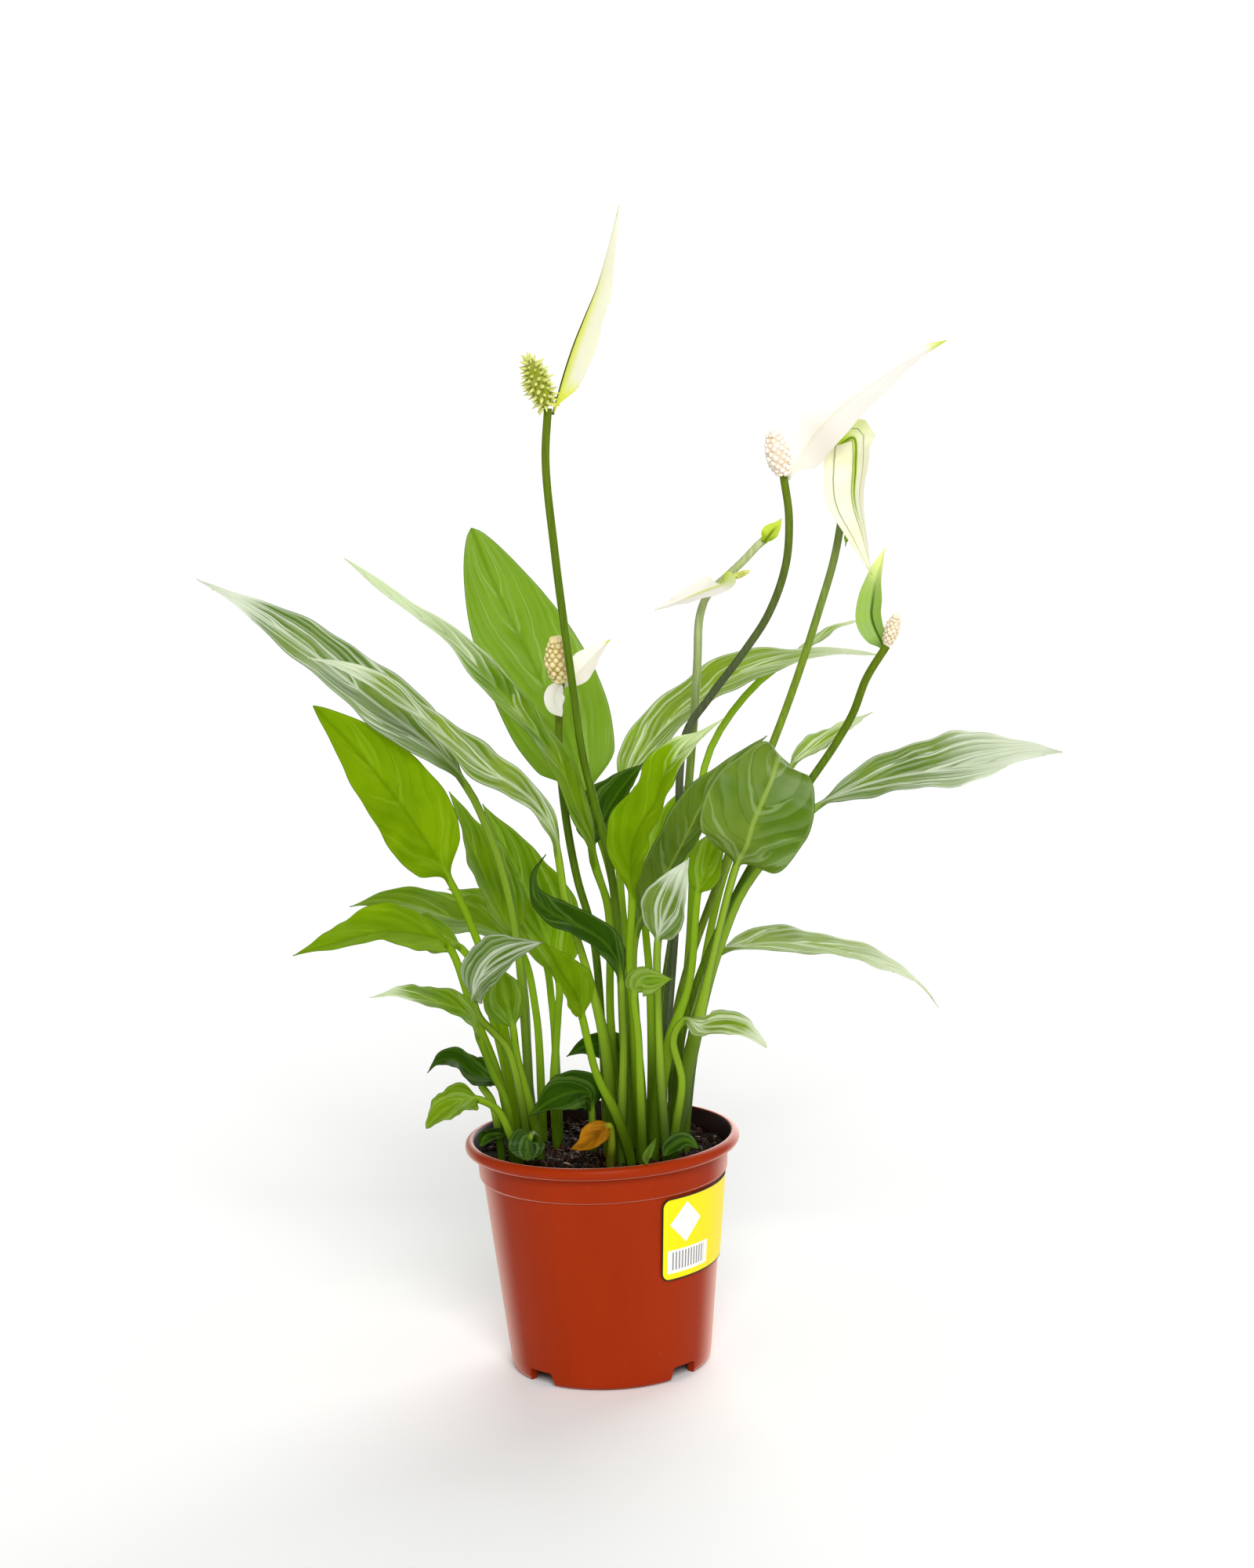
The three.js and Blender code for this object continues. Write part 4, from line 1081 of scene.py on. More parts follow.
@dataclass(frozen=True)
class LabelFilm:
    """Printed polypropylene label: glossy yellow film with a thin dark rule round it.

    Its places are millimetres from the label's lower left corner.
    """

    width: float
    height: float
    corner: float
    name: str = "label_printed_film"
    ground: str = "#FFE800"
    rule: str = "#2A2418"
    panel: str = "#F7F5F0"
    bar: str = "#8E8C90"
    rule_width: float = 0.65
    diamond_centre: Spot = (12.9, 25.2)
    diamond_reach: float = 9.0
    panel_centre: Spot = (15.6, 8.4)
    panel_half: Spot = (12.7, 5.2)
    bars_centre: Spot = (15.4, 8.6)
    bars_half: Spot = (10.0, 4.0)
    bar_pitch: float = 1.8

    CRINKLE_MM = 9.0
    BLUR = 0.12
    DIAMOND_BLUR = 0.15

    def build(self) -> bpy.types.Material:
        """Build the label material.

        Returns:
            Material that reads the marks across and above.
        """
        material, tree, marks = start_material(self.name, "across", "above")
        spot = add_node(tree, "ShaderNodeCombineXYZ", {0: marks["across"], 1: marks["above"]})
        middle = (self.width / 2, self.height / 2)
        inner = (middle[0] - self.rule_width, middle[1] - self.rule_width)
        film, panel, barred = (
            self._inside(tree, spot, centre, half, corner)
            for centre, half, corner in (
                (middle, inner, self.corner - 0.6),
                (self.panel_centre, self.panel_half, 0.6),
                (self.bars_centre, self.bars_half, 0.2),
            )
        )
        cycle = add_node(
            tree, "ShaderNodeMath", {0: marks["across"], 1: TURN / self.bar_pitch},
            operation="MULTIPLY",
        )
        stripe = add_node(tree, "ShaderNodeMath", {0: cycle}, operation="SINE")
        inked = add_node(
            tree, "ShaderNodeMapRange", {"Value": stripe, "From Min": 0.0, "From Max": 0.25},
        )
        bars = add_node(tree, "ShaderNodeMath", {0: inked, 1: barred}, operation="MULTIPLY")
        colour = paint(
            tree, self.rule,
            Coat(self.ground, film),
            Coat(self.panel, self._diamond(tree, spot)),
            Coat(self.panel, panel),
            Coat(self.bar, bars),
        )
        crinkle = cloud(tree, self.CRINKLE_MM, 2.0)
        Surface(0.4, 1.49, 0.2, crinkle, 0.3, 0.3).close(tree, colour)
        return material

    def _inside(self, tree: Tree, spot: Socket, centre: Spot, half: Spot, corner: float) -> Socket:
        """Mask of a rectangle with rounded corners.

        Args:
            tree: material tree.
            spot: place on the label.
            centre: middle of the rectangle.
            half: half width and half height.
            corner: corner radius.

        Returns:
            Socket that is 1 inside and 0 outside.
        """
        none = (0.0, 0.0, 0.0)
        straight = (half[0] - corner, half[1] - corner, 0.0)
        for operation, value in (
            ("SUBTRACT", (*centre, 0.0)), ("ABSOLUTE", none), ("SUBTRACT", straight),
            ("MAXIMUM", none),
        ):
            spot = add_node(tree, "ShaderNodeVectorMath", {0: spot, 1: value}, operation=operation)
        away = add_node(tree, "ShaderNodeVectorMath", {0: spot}, operation="LENGTH", out="Value")
        return add_node(
            tree, "ShaderNodeMapRange",
            {"Value": away, "From Min": corner + self.BLUR, "From Max": corner - self.BLUR},
        )

    def _diamond(self, tree: Tree, spot: Socket) -> Socket:
        """Mask of a square standing on its corner.

        Args:
            tree: material tree.
            spot: place on the label.

        Returns:
            Socket that is 1 inside and 0 outside.
        """
        middle = (*self.diamond_centre, 0.0)
        for operation, value in (("SUBTRACT", middle), ("ABSOLUTE", (0.0, 0.0, 0.0))):
            spot = add_node(tree, "ShaderNodeVectorMath", {0: spot, 1: value}, operation=operation)
        walked = add_node(
            tree, "ShaderNodeVectorMath", {0: spot, 1: (1.0, 1.0, 0.0)}, out="Value",
            operation="DOT_PRODUCT",
        )
        return add_node(
            tree, "ShaderNodeMapRange",
            {"Value": walked, "From Min": self.diamond_reach + self.DIAMOND_BLUR,
             "From Max": self.diamond_reach - self.DIAMOND_BLUR},
        )


@dataclass(frozen=True)
class PaperSweep:
    """Seamless studio paper: matt and very pale, with the faintest fibre."""

    name: str = "seamless_paper"
    tone: str = "#F8F8F7"
    fibre_mm: float = 2.0

    def build(self) -> bpy.types.Material:
        """Build the floor material."""
        material, tree, _ = start_material(self.name)
        fibre = cloud(tree, self.fibre_mm, 2.0)
        Surface(0.9, height=fibre, strength=0.05, depth_mm=0.05).close(tree, linear(self.tone))
        return material


# ----------------------------------------------------------------------- growing trees


def open_tree(name: str, sizes: Mapping[str, str]) -> tuple[Tree, bpy.types.Node]:
    """Start a geometry tree with a mesh input and named inputs for its sizes.

    Args:
        name: name of the tree.
        sizes: kind of value of each named input.

    Returns:
        The tree and its input node.
    """
    tree = bpy.data.node_groups.new(name, "GeometryNodeTree")
    tree.interface.new_socket("Geometry", in_out="INPUT", socket_type="NodeSocketGeometry")
    for label, kind in sizes.items():
        tree.interface.new_socket(label, in_out="INPUT", socket_type=f"NodeSocket{kind}")
    tree.interface.new_socket("Geometry", in_out="OUTPUT", socket_type="NodeSocketGeometry")
    return tree, add_node(tree, "NodeGroupInput").node


def close_tree(tree: Tree, grown: Socket, finish: Socket) -> None:
    """Realize what has grown, give it its material and end the tree.

    Args:
        tree: tree that is being built.
        grown: geometry to finish.
        finish: material socket.
    """
    real = add_node(tree, "GeometryNodeRealizeInstances", {"Geometry": grown})
    soft = add_node(tree, "GeometryNodeSetShadeSmooth", {"Geometry": real})
    dressed = add_node(tree, "GeometryNodeSetMaterial", {"Geometry": soft, "Material": finish})
    add_node(tree, "NodeGroupOutput", {"Geometry": dressed})


def grow(piece: bpy.types.Object, tree: Tree, sizes: Mapping[str, Any]) -> None:
    """Run a geometry tree on a piece and keep the result as a plain mesh.

    Args:
        piece: mesh object that the tree starts from.
        tree: geometry tree.
        sizes: value for each named input.
    """
    modifier = piece.modifiers.new("growth", "NODES")
    modifier.node_group = tree
    for item in tree.interface.items_tree:
        if item.item_type == "SOCKET" and item.in_out == "INPUT" and item.name in sizes:
            modifier[item.identifier] = sizes[item.name]
    graph = bpy.context.evaluated_depsgraph_get()
    mesh = bpy.data.meshes.new_from_object(
        piece.evaluated_get(graph), preserve_all_data_layers=True, depsgraph=graph,
    )
    piece.modifiers.clear()
    piece.data = mesh


@functools.cache
def floret_tree() -> Tree:
    """Tree that sets one floret on every marked point of a spadix.

    Returns:
        Geometry tree with floret width, floret height, pointed, seed and finish inputs.
    """
    tree, given = open_tree(
        "florets_on_spadix",
        {"Floret Width": "Float", "Floret Height": "Float", "Pointed": "Bool", "Seed": "Int",
         "Finish": "Material"},
    )
    dome = add_node(tree, "GeometryNodeMeshIcoSphere", {"Radius": 1.0, "Subdivisions": 2})
    cone = add_node(
        tree, "GeometryNodeMeshCone",
        {"Vertices": 8, "Side Segments": 2, "Radius Top": 0.12, "Radius Bottom": 1.0, "Depth": 2.0},
    )
    form = add_node(
        tree, "GeometryNodeSwitch",
        {"Switch": given.outputs["Pointed"], "False": dome, "True": cone},
        input_type="GEOMETRY",
    )
    size = add_node(
        tree, "ShaderNodeCombineXYZ",
        {0: given.outputs["Floret Width"], 1: given.outputs["Floret Width"],
         2: given.outputs["Floret Height"]},
    )
    scaled = add_node(tree, "GeometryNodeTransform", {"Geometry": form, "Scale": size})
    crowned = add_node(
        tree, "GeometryNodeStoreNamedAttribute",
        {"Geometry": scaled, "Name": "crown", "Value": 0.75},
        data_type="FLOAT", domain="POINT",
    )
    marked = add_node(tree, "GeometryNodeInputNamedAttribute", {"Name": "floret"}, data_type="FLOAT")
    normal = add_node(tree, "GeometryNodeInputNormal")
    lean = add_node(tree, "FunctionNodeAlignRotationToVector", {"Vector": normal}, axis="Z")
    vary = add_node(
        tree, "FunctionNodeRandomValue", {2: 0.72, 3: 1.2, "Seed": given.outputs["Seed"]},
        data_type="FLOAT", out=1,
    )
    chosen = add_node(
        tree, "FunctionNodeCompare", {0: marked, 1: 0.5},
        data_type="FLOAT", operation="GREATER_THAN",
    )
    placed = add_node(
        tree, "GeometryNodeInstanceOnPoints",
        {"Points": given.outputs["Geometry"], "Selection": chosen,
         "Instance": crowned, "Rotation": lean, "Scale": vary},
    )
    joined = add_node(tree, "GeometryNodeJoinGeometry")
    for part in (given.outputs["Geometry"], placed):
        tree.links.new(part, joined.node.inputs[0])
    close_tree(tree, joined, given.outputs["Finish"])
    return tree


@functools.cache
def stem_tree() -> Tree:
    """Tree that runs a round stem along a line of points.

    Returns:
        Geometry tree with stem radius, sides and finish inputs; the mark girth scales
        the radius along the line.
    """
    tree, given = open_tree(
        "stem_along_line", {"Stem Radius": "Float", "Sides": "Int", "Finish": "Material"},
    )
    line = add_node(tree, "GeometryNodeMeshToCurve", {"Mesh": given.outputs["Geometry"]})
    girth = add_node(tree, "GeometryNodeInputNamedAttribute", {"Name": "girth"}, data_type="FLOAT")
    swelled = add_node(tree, "GeometryNodeSetCurveRadius", {"Curve": line, "Radius": girth})
    round_profile = add_node(
        tree, "GeometryNodeCurvePrimitiveCircle",
        {"Resolution": given.outputs["Sides"], "Radius": given.outputs["Stem Radius"]},
    )
    tube = add_node(
        tree, "GeometryNodeCurveToMesh",
        {"Curve": swelled, "Profile Curve": round_profile, "Fill Caps": True},
    )
    close_tree(tree, tube, given.outputs["Finish"])
    return tree


class LitterForm(Enum):
    """Forms of the bits that are strewn on the peat."""

    CRUMB = "crumb"
    STRAND = "strand"


@functools.cache
def litter_tree(form: LitterForm) -> Tree:
    """Tree that strews crumbs or strands over the peat.

    Args:
        form: what one bit looks like.

    Returns:
        Geometry tree with density, bit size, seed and finish inputs.
    """
    tree, given = open_tree(
        f"strewn_{form.value}",
        {"Density": "Float", "Bit Size": "Float", "Seed": "Int", "Finish": "Material"},
    )
    spread = add_node(
        tree, "GeometryNodeDistributePointsOnFaces",
        {"Mesh": given.outputs["Geometry"], "Density": given.outputs["Density"],
         "Seed": given.outputs["Seed"]},
    )
    if form is LitterForm.STRAND:
        arc = add_node(
            tree, "GeometryNodeCurveQuadraticBezier",
            {"Resolution": 6, "Start": (-1.0, 0.0, -0.08), "Middle": (0.1, 0.7, 0.32),
             "End": (1.0, 0.1, 0.0)},
        )
        profile = add_node(
            tree, "GeometryNodeCurvePrimitiveCircle", {"Resolution": 4, "Radius": 0.045},
        )
        bit = add_node(
            tree, "GeometryNodeCurveToMesh",
            {"Curve": arc, "Profile Curve": profile, "Fill Caps": True},
        )
        low_scale, high_scale = (0.35, 0.35, 0.35), (1.0, 1.0, 1.0)
        tilt_low, tilt_high = (-0.35, -0.35, 0.0), (0.35, 0.35, TURN)
    else:
        lump = add_node(tree, "GeometryNodeMeshIcoSphere", {"Radius": 1.0, "Subdivisions": 2})
        where = add_node(tree, "GeometryNodeInputPosition")
        rough = add_node(
            tree, "ShaderNodeTexNoise", {"Vector": where, "Scale": 1.4, "Detail": 1.0}, out="Color",
        )
        shove = add_node(
            tree, "ShaderNodeVectorMath", {0: rough, 1: (0.5, 0.5, 0.5)}, operation="SUBTRACT",
        )
        push = add_node(
            tree, "ShaderNodeVectorMath", {0: shove, 1: (1.6, 1.6, 1.6)}, operation="MULTIPLY",
        )
        bit = add_node(tree, "GeometryNodeSetPosition", {"Geometry": lump, "Offset": push})
        low_scale, high_scale = (0.3, 0.3, 0.2), (1.0, 0.8, 0.6)
        tilt_low, tilt_high = (0.0, 0.0, 0.0), (TURN, TURN, TURN)
    scale = add_node(
        tree, "FunctionNodeRandomValue", {0: low_scale, 1: high_scale, "Seed": 11},
        data_type="FLOAT_VECTOR",
    )
    sized = add_node(
        tree, "ShaderNodeVectorMath", {0: scale, "Scale": given.outputs["Bit Size"]},
        operation="SCALE",
    )
    lie = add_node(
        tree, "FunctionNodeRandomValue", {0: tilt_low, 1: tilt_high, "Seed": 23},
        data_type="FLOAT_VECTOR",
    )
    placed = add_node(
        tree, "GeometryNodeInstanceOnPoints",
        {"Points": spread, "Instance": bit, "Rotation": lie,
         "Scale": sized},
    )
    close_tree(tree, placed, given.outputs["Finish"])
    return tree


# --------------------------------------------------------------------------------- pot


def rounded(profile: Sequence[Spot], radius: float, steps: int = 4) -> list[Spot]:
    """Round the corners of an open outline.

    Args:
        profile: corners of the outline.
        radius: how far from each corner the rounding starts.
        steps: segments of each rounding.

    Returns:
        The outline with its inner corners rounded.
    """
    points = [np.array(corner, dtype=float) for corner in profile]
    made: list[Spot] = [tuple(points[0])]
    for before, corner, after in zip(points, points[1:], points[2:]):
        back, on = before - corner, after - corner
        reach_back = min(radius, 0.45 * float(np.linalg.norm(back)))
        reach_on = min(radius, 0.45 * float(np.linalg.norm(on)))
        start = corner + back / np.linalg.norm(back) * reach_back
        end = corner + on / np.linalg.norm(on) * reach_on
        for k in range(steps + 1):
            t = k / steps
            spot = start * (1 - t) ** 2 + corner * 2 * t * (1 - t) + end * t * t
            made.append(tuple(spot))
    made.append(tuple(points[-1]))
    return made


def lathe(profile: Sequence[Spot], sides: int) -> Shape:
    """Turn an outline that starts and ends on the axis into a closed shape.

    Args:
        profile: radius and height of each corner; the first and last radius are 0.
        sides: number of columns round the axis.

    Returns:
        The closed shape.
    """
    angles = TURN * np.arange(sides) / sides
    rings = np.stack([
        np.stack([r * np.cos(angles), r * np.sin(angles), np.full(sides, z)], axis=1)
        for r, z in profile[1:-1]
    ])
    return capped(rings, profile[0][1], profile[-1][1])


@dataclass(frozen=True)
class NurseryPot:
    """Moulded 12 cm pot with a rolled lip, a collar and four feet."""

    height: float = 102.0
    lip_radius: float = 60.0
    lip_drop: float = 3.2
    lip_underside: float = 5.0
    collar_top: float = 6.0
    collar_foot: float = 16.4
    body_top: float = 17.0
    body_top_radius: float = 52.6
    body_foot_radius: float = 44.2
    body_foot: float = 5.0
    collar_step: float = 2.2
    collar_inner_drop: float = 2.0
    body_inner_drop: float = 0.5
    floor_fillet: float = 0.8
    edge_round: float = 0.9
    foot_ring_radius: float = 43.6
    foot_inner_radius: float = 39.5
    floor_underside: float = 4.0
    floor_top: float = 5.5
    wall: float = 1.35
    notch_count: int = 4
    notch_width_low: float = 15.0
    notch_width_high: float = 12.0
    notch_height: float = 6.0
    notch_inner: float = 35.0
    notch_outer: float = 47.0
    drain_radius: float = 4.0
    sides: int = 144

    def profile(self) -> list[Spot]:
        """Outline (radius, height), outside down to the foot and back up inside."""
        top, body = self.height, self.body_top_radius
        collar = body + self.collar_step
        return [
            (0.0, self.floor_underside),
            (self.foot_inner_radius, self.floor_underside),
            (self.foot_inner_radius, 0.0),
            (self.foot_ring_radius - 1.0, 0.0),
            (self.foot_ring_radius, 1.5),
            (self.body_foot_radius, self.body_foot),
            (body, top - self.body_top),
            (body + 1.6, top - self.collar_foot),
            (collar, top - self.collar_top),
            (self.lip_radius - 1.0, top - self.lip_underside),
            (self.lip_radius, top - self.lip_drop),
            (self.lip_radius - 0.6, top - 0.8),
            (self.lip_radius - 2.8, top),
            (self.lip_radius - 3.8, top - 0.6),
            (collar - self.wall, top - self.collar_top - self.collar_inner_drop),
            (body - self.wall, top - self.body_top - self.body_inner_drop),
            (self.body_foot_radius - self.wall, self.floor_top + self.floor_fillet),
            (self.body_foot_radius - self.wall - 1.3, self.floor_top),
            (0.0, self.floor_top),
        ]

    def body_radius(self, height: Any) -> Any:
        """Outer radius of the tapered body at a height."""
        share = (height - self.body_foot) / (self.height - self.body_top - self.body_foot)
        return mix(self.body_foot_radius, self.body_top_radius, share)

    def inner_radius(self, height: float) -> float:
        """Inner radius of the pot.

        Args:
            height: height inside the peat.

        Returns:
            Radius of the inner wall there.
        """
        low = self.floor_top + self.floor_fillet
        high = self.height - self.body_top - self.body_inner_drop
        share = min(1.0, (height - low) / (high - low))
        radius = mix(self.body_foot_radius, self.body_top_radius, share) - self.wall
        rise = self.height - self.collar_top - self.collar_inner_drop - high
        return radius + max(0.0, height - high) / rise * self.collar_step

    def _notch(
        self, plastic: bpy.types.Material, angle: float,
    ) -> bpy.types.Object:
        """Cutter for one drain notch, a tapered bar through the corner of the foot.

        Args:
            plastic: material of the pot.
            angle: direction of the notch from the axis, in radians.

        Returns:
            The cutter, which is removed after the cut.
        """
        low, high = self.notch_width_low / 2, self.notch_width_high / 2
        outline = [(-low, -1.0), (low, -1.0), (low, 0.6), (high + 0.5, self.notch_height - 0.6),
                   (high - 0.5, self.notch_height), (-high + 0.5, self.notch_height),
                   (-high - 0.5, self.notch_height - 0.6), (-low, 0.6)]
        spin = np.array([[math.cos(angle), -math.sin(angle)], [math.sin(angle), math.cos(angle)]])
        rings = []
        for out in (self.notch_inner, self.notch_outer):
            flat = np.array([[out, side] for side, _ in outline]) @ spin.T
            rings.append(np.column_stack([flat, [z for _, z in outline]]))
        count = len(outline)
        faces = quads(2, count)
        faces += [tuple(range(count - 1, -1, -1)), tuple(range(count, 2 * count))]
        shape = Shape(np.vstack(rings), faces).outward()
        return shape.piece("notch_cutter", plastic)

    def build(self) -> bpy.types.Object:
        """Build the pot and dress it.

        Returns:
            The pot piece, riding on the frame.
        """
        plastic = material_of(PotPlastic(tuple(metres(np.zeros(3)).tolist())))
        outline = rounded(self.profile(), self.edge_round)
        pot = lathe(outline, self.sides).piece("pot_moulded", plastic)
        angles = [math.pi / 4 + TURN * k / self.notch_count for k in range(self.notch_count)]
        cutters = [self._notch(plastic, angle) for angle in angles]
        drain = lathe(
            [(0.0, -1.0), (self.drain_radius, -1.0), (self.drain_radius, 8.0), (0.0, 8.0)], 24
        ).piece("drain_cutter", plastic)
        for cutter in (*cutters, drain):
            cut = pot.modifiers.new("cut", "BOOLEAN")
            cut.operation, cut.solver, cut.object = "DIFFERENCE", "EXACT", cutter
        graph = bpy.context.evaluated_depsgraph_get()
        mesh = bpy.data.meshes.new_from_object(pot.evaluated_get(graph), depsgraph=graph)
        pot.modifiers.clear()
        pot.data = mesh
        mesh.set_sharp_from_angle(angle=math.radians(38))
        for cutter in (*cutters, drain):
            bpy.data.objects.remove(cutter)
        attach(pot, BODY)
        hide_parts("pot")
        return pot


# -------------------------------------------------------------------------------- peat


@dataclass(frozen=True)
class Bits:
    """One kind of bit on the peat: size of the largest, and number to the square metre."""

    name: str
    form: LitterForm
    look: LitterLook
    size: float
    density: float
    seed: int


BITS: tuple[Bits, ...] = (
    Bits("peat_bark_bits", LitterForm.CRUMB, LitterLook.BARK, size=2.4, density=8.0e4, seed=3),
    Bits("peat_fibres", LitterForm.STRAND, LitterLook.FIBRE, size=4.6, density=8.0e3, seed=5),
    Bits("peat_white_grit", LitterForm.CRUMB, LitterLook.GRIT, size=0.75, density=2.0e3, seed=9),
)


@dataclass(frozen=True)
class PeatFill:
    """Peat that fills the pot, with bark crumbs, root fibres and white grit on top."""

    pot: NurseryPot
    level: float = 95.0
    bump: float = 1.4
    gap: float = 0.5
    floor_gap: float = 1.2
    shoulder_drop: float = 1.0
    columns: int = 120
    rings: int = 34
    clear_rings: int = 2
    bits: tuple[Bits, ...] = BITS

    def surface(self, x: float, y: float) -> float:
        """Height of the lumpy surface: slow ripples of the solid plus crumbs.

        Args:
            x: distance to the right of the axis.
            y: distance behind the axis.

        Returns:
            Height above the table.
        """
        slow = math.sin(x * 0.13 + 1.1) * math.cos(y * 0.11 - 0.6)
        quick = math.sin(x * 0.41 + y * 0.23) * math.sin(y * 0.37 - 0.4)
        base = self.level + self.bump * (0.55 * slow + 0.45 * quick) - 0.6
        lump = noise.fractal(Vector((x * 0.14, y * 0.14, 3.1)), 1.0, 2.0, 4)
        crumb = noise.fractal(Vector((x * 0.45, y * 0.45, 7.7)), 0.8, 2.2, 3)
        return base + 1.1 * lump + 0.55 * crumb

    def _edge(self, height: float) -> float:
        """Radius of the peat where it meets the wall at a height."""
        return self.pot.inner_radius(height) - self.gap

    def _top(self) -> np.ndarray:
        """Rings of the surface from the wall inwards, without the middle point."""
        angles = TURN * np.arange(self.columns) / self.columns
        rows = []
        for i in range(self.rings, 0, -1):
            radius = self._edge(self.level - 2.0) * i / self.rings
            rows.append([
                (radius * math.cos(a), radius * math.sin(a),
                 self.surface(radius * math.cos(a), radius * math.sin(a)))
                for a in angles
            ])
        return np.array(rows)

    def build(self) -> list[bpy.types.Object]:
        """Build the peat and what lies on it.

        Returns:
            The peat and three kinds of bits, riding on the frame.
        """
        angles = TURN * np.arange(self.columns) / self.columns
        bottom = self.pot.floor_top + self.floor_gap
        low = np.stack([
            np.column_stack([self._edge(z) * np.cos(angles), self._edge(z) * np.sin(angles),
                             np.full(self.columns, z)])
            for z in (bottom, self.pot.height - self.pot.body_top - self.shoulder_drop)
        ])
        top = self._top()
        shape = capped(np.concatenate([low, top]), bottom, self.surface(0.0, 0.0))
        peat = shape.piece("peat_fill", material_of(Peat()))
        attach(peat, BODY)
        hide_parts("soil")
        return [peat, *(self._strewn(top, bits) for bits in self.bits)]

    def _strewn(self, top: np.ndarray, bits: Bits) -> bpy.types.Object:
        """Strew one kind of bit over the surface.

        Args:
            top: rings of the surface.
            bits: what is strewn.

        Returns:
            The strewn piece, riding on the frame.
        """
        inner = top[self.clear_rings :]
        ground = Shape(inner.reshape(-1, 3), quads(len(inner), self.columns))
        piece = ground.piece(bits.name, material_of(bits.look.value))
        grow(piece, litter_tree(bits.form), {
            "Density": bits.density, "Bit Size": bits.size * MM, "Seed": bits.seed,
            "Finish": material_of(bits.look.value),
        })
        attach(piece, BODY)
        return piece


# ------------------------------------------------------------------------------- label


@dataclass(frozen=True)
class Label:
    """Printed film label wrapped round the pot below its collar."""

    pot: NurseryPot
    start_deg: float = 27.0
    end_deg: float = 103.0
    top: float = 83.8
    height: float = 37.0
    thickness: float = 0.5
    gap: float = 0.45
    back_gap: float = 0.02
    corner: float = 4.0
    crowding: float = 0.12
    columns: int = 96
    rows: int = 13

    def build(self) -> bpy.types.Object:
        """Build the label and dress it.

        Returns:
            The label piece, riding on the frame.
        """
        radius = self.pot.body_radius(self.top)
        length = math.radians(self.end_deg - self.start_deg) * radius
        even = np.linspace(0.0, 1.0, self.columns + 1)
        shares = 0.5 - 0.5 * np.cos(np.pi * even) * (1 - self.crowding * np.sin(np.pi * even))
        from_end = np.minimum(shares, 1 - shares) * length
        inset = np.maximum(0.0, self.corner - from_end)
        cut = self.corner - np.sqrt(np.maximum(0.0, self.corner**2 - inset**2))
        angles = np.radians(mix(self.start_deg, self.end_deg, shares) - 90.0)
        ladder = np.linspace(0.0, 1.0, self.rows)
        high = self.top - cut
        low = self.top - self.height + cut
        z = mix(low[:, None], high[:, None], ladder[None, :])
        sides = []
        for lift in (self.thickness, self.back_gap):
            reach = self.pot.body_radius(z) + self.gap + lift
            sides.append(np.stack(
                [reach * np.cos(angles)[:, None], reach * np.sin(angles)[:, None], z], axis=2,
            ))
        rings = np.concatenate([sides[0], sides[1][:, ::-1, :]], axis=1)
        across = np.repeat((shares * length)[:, None], 2 * self.rows, axis=1)
        above = np.concatenate([z, z[:, ::-1]], axis=1) - (self.top - self.height)
        film = LabelFilm(length, self.height, self.corner)
        label = skin(rings, {"across": across, "above": above}).piece(
            "label_film", material_of(film)
        )
        label.data.set_sharp_from_angle(angle=math.radians(40))
        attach(label, BODY)
        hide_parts("sticker")
        return label


# ------------------------------------------------------------------------------ leaves


